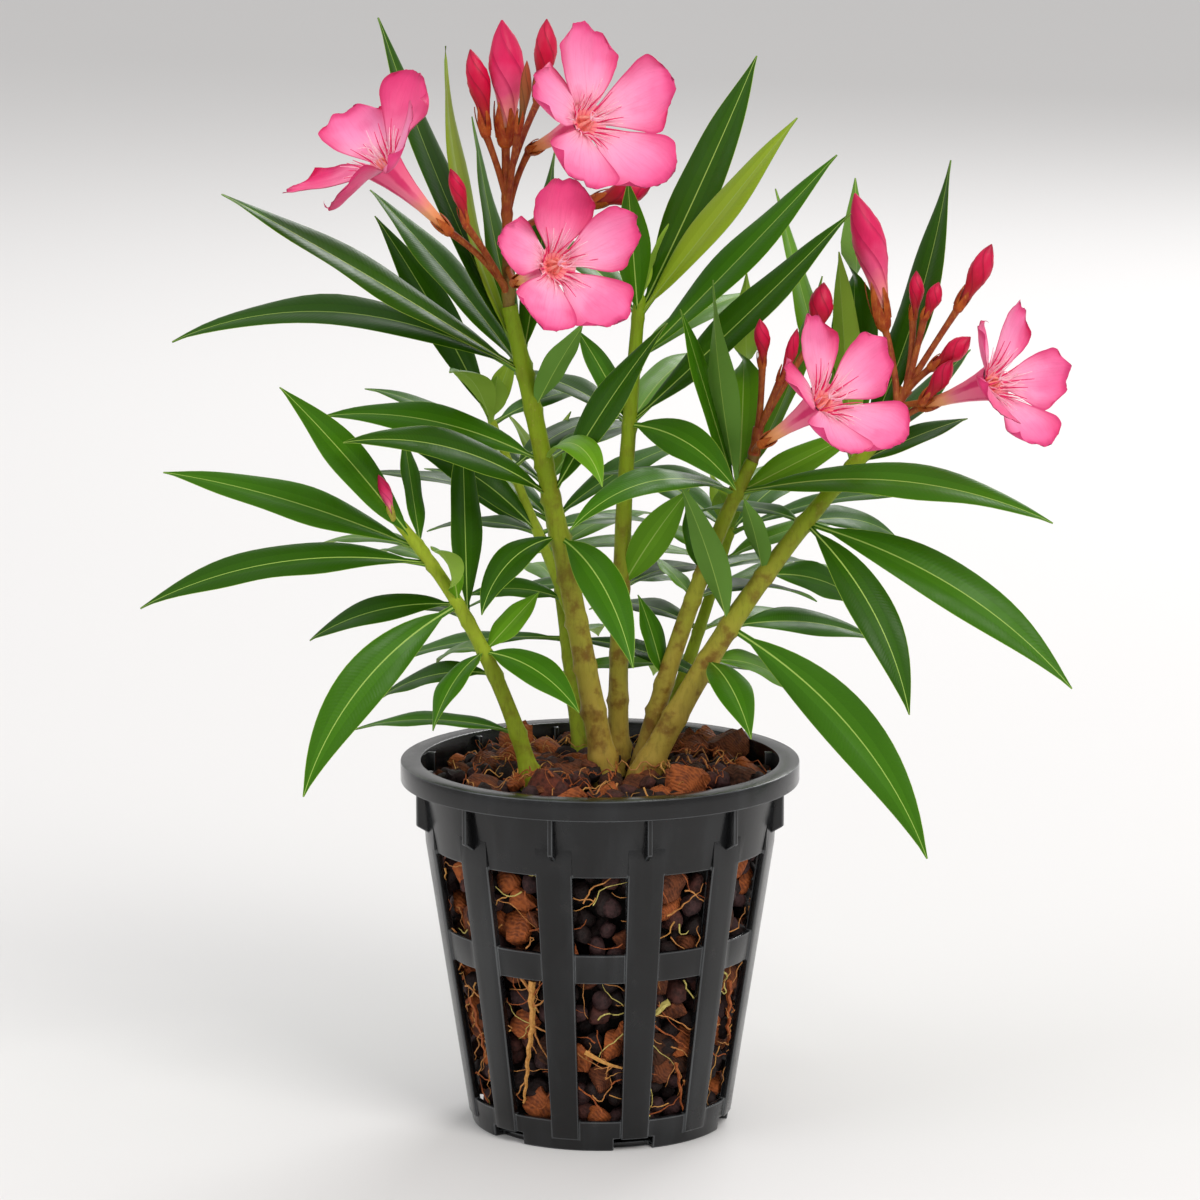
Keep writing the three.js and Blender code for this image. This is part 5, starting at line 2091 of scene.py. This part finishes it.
@dataclass(frozen=True)
class Heap:
    """Bark chips, lava stones and roots: a heap on top, and a packed skin behind the pot's windows."""

    pot: NetPot = field(default_factory=NetPot)
    seed: int = 9
    rows: int = 13
    around: int = 38
    on_top: int = 330
    top: float = 113.0
    crown: float = 5.5
    bark_share: float = 0.3
    wall_heights: tuple[float, float] = (7.0, 106.0)
    wall_bark: tuple[float, float] = (4.2, 6.4)
    wall_stone: tuple[float, float] = (3.3, 4.8)
    wall_gap: tuple[float, float] = (0.2, 2.8)
    behind_gap: tuple[float, float] = (5.0, 8.0)
    top_bark: tuple[float, float] = (3.4, 6.4)
    top_stone: tuple[float, float] = (3.0, 4.6)
    core_gap: float = 12.0
    threads: int = 430
    ball_threads: int = 16
    root_heights: tuple[float, float] = (5.0, 104.0)
    floor: float = 2.2
    ball: Triple = (-17, -30, 117.0)
    ball_radius: float = 8.5
    large_from: float = 6.6

    def core(self) -> None:
        """The dark inside of the mix, which only shows between the crumbs."""
        deselect()
        low, high = (self.pot.wall_radius(z) - self.core_gap for z in (3, 108))
        bpy.ops.mesh.primitive_cone_add(vertices=48, radius1=low * MM, radius2=high * MM, depth=105 * MM,
                                        location=(0, 0, 56 * MM))
        core = bpy.context.object
        core.name = core.data.name = "mix_core"
        bpy.ops.object.mode_set(mode="EDIT")
        bpy.ops.mesh.select_all(action="SELECT")
        bpy.ops.mesh.bevel(offset=2 * MM, segments=2)
        bpy.ops.object.mode_set(mode="OBJECT")
        bpy.ops.object.transform_apply(location=True, rotation=True, scale=True)
        core.data.materials.append(material(ChipFinish("mix_dark", "#0c0806", "#070403", 500.0, 0.0004)))
        settle(core, ["potting_mix"])

    def models(self) -> Models:
        """Makes a plain crumb of each kind from primitives.

        Returns:
            The points, one unit in radius, and the faces of each kind.
        """
        made = {}
        for kind in Crumb:
            deselect()
            if kind is Crumb.STONE:
                bpy.ops.mesh.primitive_ico_sphere_add(subdivisions=2, radius=1, location=(0, 0, 0))
            else:
                bpy.ops.mesh.primitive_cube_add(size=2, location=(0, 0, 0))
            model = bpy.context.object
            bpy.ops.object.mode_set(mode="EDIT")
            bpy.ops.mesh.select_all(action="SELECT")
            if kind is Crumb.BARK:
                bpy.ops.mesh.subdivide(number_cuts=3)
                bpy.ops.transform.tosphere(value=0.55)
                bpy.ops.transform.resize(value=(1.0, 0.76, 0.45))
            else:
                bpy.ops.transform.resize(value=(1.0, 0.85, 0.78))
            bpy.ops.object.mode_set(mode="OBJECT")
            points = np.array([v.co for v in model.data.vertices])
            faces = [tuple(p.vertices) for p in model.data.polygons]
            made[kind] = (points, faces)
            bpy.data.objects.remove(model, do_unlink=True)
        return made

    def crumb(self, model: Array, kind: Crumb, size: float, dice: Dice) -> Array:
        """One crumb's points: the model of its kind, knocked out of shape.

        Args:
            model: the points of the plain crumb.
            kind: what it is.
            size: its radius in millimetres.
            dice: what its shape is drawn with.

        Returns:
            Its points round the origin.
        """
        points = model.copy()
        if kind is Crumb.BARK:
            points[:, 1] *= 1 + dice.between(-0.35, 0.35) * points[:, 0]
            points[:, 2] += dice.between(-0.25, 0.25) * points[:, 0] ** 2
            large = size > self.large_from
            cuts, near, far, knock = (9, 0.3, 0.85, 0.08) if large else (5, 0.42, 0.85, 0.045)
        else:
            cuts, near, far, knock = 5, 0.6, 0.8, 0.05
        for _ in range(cuts):
            way = unit(dice.triple() + 1e-6)
            reach = (points @ way).max()
            off = points @ way - dice.between(near, far) * reach
            points -= np.maximum(off, 0)[:, None] * way * 0.85
        jitter = np.array([dice.triple(knock) for _ in points])
        return (points + jitter) * size

    def turned(self, points: Array, normal: Array, dice: Dice, tilt: float) -> Array:
        """Lays a crumb with its flat side towards a normal.

        Args:
            points: the crumb's points.
            normal: the way that its flat side looks.
            dice: what its turn is drawn with.
            tilt: how far it may lean off that way, in radians.

        Returns:
            The points in their new place.
        """
        lean = unit(normal + tilt * dice.triple())
        first = unit(np.cross(lean, (dice.between(-1, 1), dice.between(-1, 1), 0.31)))
        second = np.cross(lean, first)
        return points @ np.array((first, second, lean))

    def slot_of(self, kind: Crumb, dice: Dice) -> int:
        """The finish of a crumb, dealt out among the colours of its kind."""
        return int(dice.pick((0, 0, 1, 1, 2)) if kind is Crumb.BARK else dice.pick((3, 3, 4, 4, 5)))

    def on_the_wall(self, tray: Tray, models: Models, dice: Dice) -> None:
        """Packs crumbs against the inside of the wall, all round, with a darker layer of stones behind them.

        Args:
            tray: where they go.
            models: the plain crumbs.
            dice: what they are drawn with.
        """
        for row in range(self.rows * 2):
            behind = row % 2 == 0
            level = mix(*self.wall_heights, row / (self.rows * 2 - 1))
            for column in range(self.around):
                z = level + dice.between(-3.2, 3.2)
                place = column + 0.25 * (row % 4) + dice.between(-0.35, 0.35)
                angle = math.radians(place * 360 / self.around)
                kind = Crumb.BARK if not behind and dice.roll() < self.bark_share else Crumb.STONE
                size = dice.between(*(self.wall_bark if kind is Crumb.BARK else self.wall_stone))
                z = max(z, self.floor + size)
                out = np.array((math.sin(angle), -math.cos(angle), 0.0))
                points = self.turned(self.crumb(models[kind][0], kind, size, dice), out, dice, 0.55)
                points += (0, 0, z)
                gap = dice.between(*(self.behind_gap if behind else self.wall_gap))
                room = self.pot.wall_radius(z) - self.pot.wall - gap
                points += out * (room - (points @ out).max())
                tray.lump(points, models[kind][1], 4 if behind else self.slot_of(kind, dice))

    def on_top_of_it(self, tray: Tray, models: Models, dice: Dice) -> None:
        """Heaps crumbs on the top, clear of the stems, with a few large ones where they catch the eye.

        Args:
            tray: where they go.
            models: the plain crumbs.
            dice: what they are drawn with.
        """
        feet = [np.array(shoot.foot[:2]) for shoot in SHOOTS.values() if shoot.foot[2] == GROUND]
        mouth = self.pot.shoulder - 2.6
        for _ in range(self.on_top):
            r, angle = mouth * math.sqrt(dice.roll()), dice.between(0, 2 * math.pi)
            spot = np.array((r * math.cos(angle), r * math.sin(angle)))
            kind = Crumb.BARK if dice.roll() < self.bark_share else Crumb.STONE
            size = dice.between(*(self.top_bark if kind is Crumb.BARK else self.top_stone))
            size = min(size, mouth + 1.2 - r) if mouth - r < 4 else size
            if size < 2.2 or min(np.linalg.norm(spot - foot) for foot in feet) < size * 0.5 + 3.2:
                continue
            z = self.top + self.crown * (1 - (r / mouth) ** 2) - 1.0 + dice.between(-2.0, 1.6)
            up = np.array((0, 0, 1.0))
            points = self.turned(self.crumb(models[kind][0], kind, size, dice), up, dice, 0.7)
            tray.lump(points + (*spot, z), models[kind][1], self.slot_of(kind, dice))
        plain, faces = models[Crumb.BARK]
        for spot, size, way, slot in LARGE_CHIPS:
            points = self.turned(self.crumb(plain, Crumb.BARK, size, dice), np.array(way), dice, 0.05)
            tray.lump(points + spot, faces, slot)
        points = self.crumb(models[Crumb.STONE][0], Crumb.STONE, self.ball_radius, dice)
        tray.lump(points + self.ball, models[Crumb.STONE][1], 6)

    def thread(self, tray: Tray, start: Array, way: Array, length: float, radius: float, kind: int,
               hold: Callable[[Array], Array], dice: Dice, wander: float = 0.42) -> Array:
        """Adds one root that wanders over a surface.

        Args:
            tray: where it goes.
            start: where it starts.
            way: the way that it sets off.
            length: how long it is.
            radius: its radius at the start.
            kind: the slot of its finish.
            hold: what puts a point back on the surface.
            dice: what its wandering is drawn with.
            wander: how much it turns at each step.

        Returns:
            The root's line.
        """
        steps = max(6, int(length / 1.7))
        line = [hold(start)]
        for _ in range(steps):
            way = unit(way + wander * dice.triple())
            line.append(hold(line[-1] + way * length / steps))
        points = np.array(line)
        tube(tray, points, radius * mix(1.0, 0.35, np.linspace(0, 1, len(points))), kind, 5)
        return points

    def roots(self, dice: Dice) -> None:
        """Makes the roots that lie behind the windows and among the chips on top.

        Args:
            dice: what they are drawn with.
        """
        tray = Tray([ROOT_TAN, ROOT_YELLOW, ROOT_RUST, ROOT_THICK])

        def on_wall(point: Array) -> Array:
            """Moves a point to the nearest place just inside the pot's wall.

            Args:
                point: the point.

            Returns:
                The place.
            """
            z = min(max(point[2], self.root_heights[0]), self.root_heights[1])
            r = self.pot.wall_radius(z) - self.pot.wall + 0.2
            flat = unit(np.array((point[0], point[1], 0.0)))
            return flat * (r + 0.5 * math.sin(point[2] * 1.1 + point[0])) + (0, 0, z)

        def on_top(point: Array) -> Array:
            """Lifts a point onto the heap.

            Args:
                point: the point.

            Returns:
                The place.
            """
            r = min(math.hypot(point[0], point[1]), self.pot.shoulder - 4)
            flat = unit(np.array((point[0], point[1], 0.0))) * r
            bulge = self.crown * (1 - (r / self.pot.shoulder) ** 2)
            return flat + (0, 0, self.top + 3.2 + bulge + math.sin(point[0]) + math.cos(1.3 * point[1]))

        def on_ball(point: Array) -> Array:
            """The nearest place on the rooted stone."""
            reach = self.ball_radius * 0.9 + math.sin(point[2]) * 0.4
            return np.array(self.ball) + unit(point - self.ball) * reach

        for k in range(self.threads):
            angle = dice.between(0, 2 * math.pi)
            top = k % 5 == 0
            r = dice.between(20, 52)
            start = np.array((math.cos(angle) * r, math.sin(angle) * r, dice.between(10, 100)))
            way = unit(np.array([dice.between(-1, 1), dice.between(-1, 1), dice.between(-1, 0.6)]))
            kind = dice.pick((0, 2, 2, 3)) if top else dice.pick((0, 0, 0, 1, 2, 2, 3))
            self.thread(tray, start, way, dice.between(8, 30), dice.between(0.15, 0.36), int(kind),
                        on_top if top else on_wall, dice)
        for _ in range(self.ball_threads):
            start = np.array(self.ball) + dice.triple()
            way = unit(dice.triple())
            length, radius = dice.between(12, 26), dice.between(0.15, 0.3)
            self.thread(tray, start, way, length, radius, int(dice.pick((0, 2, 2))), on_ball, dice)
        for angle, z, length, radius, tilt, kind in THICK_ROOTS:
            a = math.radians(angle)
            start = np.array((math.sin(a), -math.cos(a), 0)) * 50 + (0, 0, z)
            way = unit(np.array((math.cos(a) * tilt, math.sin(a) * tilt, -1.0)))
            line = self.thread(tray, start, way, length, radius, kind, on_wall, Dice(int(z) + 3), 0.1)
            for k in range(5):
                fork = line[int(dice.between(0.05, 0.95) * (len(line) - 1))]
                off = unit(np.array([dice.between(-1, 1), dice.between(-1, 1), dice.between(-1, 0.4)]))
                self.thread(tray, fork, off, length * dice.between(0.3, 0.6), radius * 0.28, 0, on_wall, dice)
        tray.build("roots", "potting_mix", [], 60.0)

    def build(self) -> None:
        """Makes the mix."""
        dice = Dice(self.seed)
        self.core()
        models = self.models()
        tray = Tray([ChipFinish("bark_orange", "#a85a2c", "#6b351b", 500.0, 0.0009, 0.75, 330.0),
                     ChipFinish("bark_brown", "#744026", "#472416", 500.0, 0.0009, 0.8, 380.0),
                     ChipFinish("bark_dark", "#4c2d1e", "#281710", 600.0, 0.001, 0.8, 300.0),
                     ChipFinish("stone_plum", "#432b2b", "#231515", 700.0, 0.0009, 0.7),
                     ChipFinish("stone_dark", "#2a1c1b", "#140c0b", 700.0, 0.0009, 0.7),
                     ChipFinish("stone_red", "#54302a", "#2f1915", 700.0, 0.0009, 0.75),
                     ChipFinish("stone_rooted", "#6a3527", "#3c1c15", 650.0, 0.001)])
        self.on_the_wall(tray, models, dice)
        self.on_top_of_it(tray, models, dice)
        tray.build("bark_and_stone", "potting_mix", [], 50.0)
        self.roots(dice)


ROOT_TAN = ChipFinish("root_tan", "#c48a4e", "#9a5f30", 1200.0, 0.0001, 0.7)
ROOT_YELLOW = ChipFinish("root_yellow", "#c9bb6c", "#a0924a", 1200.0, 0.0001, 0.7)
ROOT_RUST = ChipFinish("root_rust", "#a65a2c", "#77391b", 1200.0, 0.0001, 0.7)
ROOT_THICK = ChipFinish("root_thick", "#cf9a54", "#ac7336", 900.0, 0.0002, 0.7)

# The largest chips on top: place, radius, the way that the flat side looks, and finish.
LARGE_CHIPS = (
    ((30, -29, 117.0), 9.5, (0.1, -0.85, 0.5), 0),
    ((41, 27, 118.5), 8.2, (0.5, -0.85, 0.15), 1),
    ((34, 33, 117.5), 7.0, (-0.1, -0.9, 0.4), 0),
    ((28, 38, 116.5), 7.5, (-0.2, -0.8, 0.5), 1),
    ((30, 22, 118.0), 8.0, (-0.3, -0.6, 0.7), 1),
    ((-38, 12, 116.5), 8.0, (0.4, -0.5, 0.75), 1),
    ((-28, 34, 117.0), 8.5, (0.1, -0.8, 0.6), 0),
    ((46, -14, 116.5), 7.5, (-0.4, -0.4, 0.8), 2),
    ((-36, -22, 115.0), 6.5, (0.3, -0.4, 0.85), 1),
)

# The few thick roots behind the windows: angle from the front, height, length, radius, slant and finish.
THICK_ROOTS = (
    (-26, 57, 46, 1.2, -0.16, 3),
    (-34, 62, 18, 0.7, 0.9, 0),
    (27, 50, 12, 1.2, -0.9, 1),
    (-6, 34, 16, 0.8, 2.2, 3),
    (33, 28, 22, 0.6, 0.4, 2),
    (60, 52, 30, 0.9, 0.3, 2),
    (-62, 46, 30, 0.8, 0.3, 2),
    (118, 52, 34, 1.0, 0.2, 3),
    (182, 50, 36, 1.1, 0.2, 3),
    (150, 40, 20, 0.8, -0.7, 1),
    (238, 54, 30, 0.9, 0.3, 0),
)


# ---- Studio --------------------------------------------------------------------------------------


@dataclass(frozen=True)
class Studio:
    """The pale floor, the soft lights and the camera."""

    eye: Triple = (0.0, -1.700, 0.488)
    pitch: float = 10.5
    lens: float = 160.0
    sensor: float = 36.0
    floor_size: float = 18.0
    horizon: float = 0.6
    zenith: float = 0.7

    def floor(self) -> None:
        """A plain floor that reaches past the top of the view."""
        deselect()
        bpy.ops.mesh.primitive_plane_add(size=self.floor_size, location=(0, 0, 0))
        floor = bpy.context.object
        floor.name = floor.data.name = "studio_floor"
        floor.data.materials.append(material(FloorFinish()))

    def sky(self) -> bpy.types.World:
        """Makes an even pale sky that darkens towards the level, so that it meets the floor without an edge.

        Returns:
            The world.
        """
        world = bpy.data.worlds.new("soft_sky")
        world.use_nodes = True
        tree = world.node_tree
        direction = tree.nodes.new("ShaderNodeTexCoord").outputs["Generated"]
        height = tree.nodes.new("ShaderNodeSeparateXYZ")
        level = tree.nodes.new("ShaderNodeMapRange")
        level.inputs["From Max"].default_value = 0.6
        level.inputs["To Min"].default_value = self.horizon
        level.inputs["To Max"].default_value = self.zenith
        tree.links.new(direction, height.inputs[0])
        tree.links.new(height.outputs["Z"], level.inputs["Value"])
        tree.links.new(level.outputs[0], tree.nodes["Background"].inputs["Strength"])
        tree.nodes["Background"].inputs["Color"].default_value = (1.0, 0.99, 0.98, 1.0)
        return world

    def light(self, name: str, place: Triple, size: float, watts: float,
              tint: Triple = (1, 1, 1)) -> None:
        """Adds a soft square light that looks at the plant.

        Args:
            name: its name.
            place: where it hangs.
            size: its side.
            watts: its power.
            tint: its colour.
        """
        lamp = bpy.data.lights.new(name, "AREA")
        lamp.size = size
        lamp.energy = watts
        lamp.color = tint
        holder = bpy.data.objects.new(name, lamp)
        holder.location = place
        holder.rotation_euler = (Vector((0, 0, 0.2)) - Vector(place)).to_track_quat("-Z", "Y").to_euler()
        bpy.context.collection.objects.link(holder)

    def build(self) -> None:
        """Sets up the light and the camera."""
        scene = bpy.context.scene
        scene.world = self.sky()
        scene.view_settings.view_transform = "Standard"
        self.floor()
        self.light("key", (1.3, -1.9, 2.2), 1.3, 41.0, (1.0, 0.975, 0.94))
        self.light("fill", (-2.2, -1.2, 1.3), 1.6, 14.0, (0.97, 0.985, 1.0))
        self.light("back", (0.9, 2.2, 1.9), 1.4, 34.0)
        camera = bpy.data.cameras.new("camera")
        camera.lens = self.lens
        camera.sensor_width = self.sensor
        holder = bpy.data.objects.new("camera", camera)
        holder.location = self.eye
        holder.rotation_euler = (math.radians(90 - self.pitch), 0, 0)
        bpy.context.collection.objects.link(holder)
        scene.camera = holder


def main() -> None:
    """Builds the oleander in order."""
    logging.basicConfig(level=logging.INFO, format="%(name)s %(message)s", stream=sys.stdout)
    NetPot().build()
    Heap().build()
    Stems().build()
    Foliage().build()
    for head in HEADS:
        Blossom(head).build()
    Studio().build()


if __name__ == "__main__":
    main()
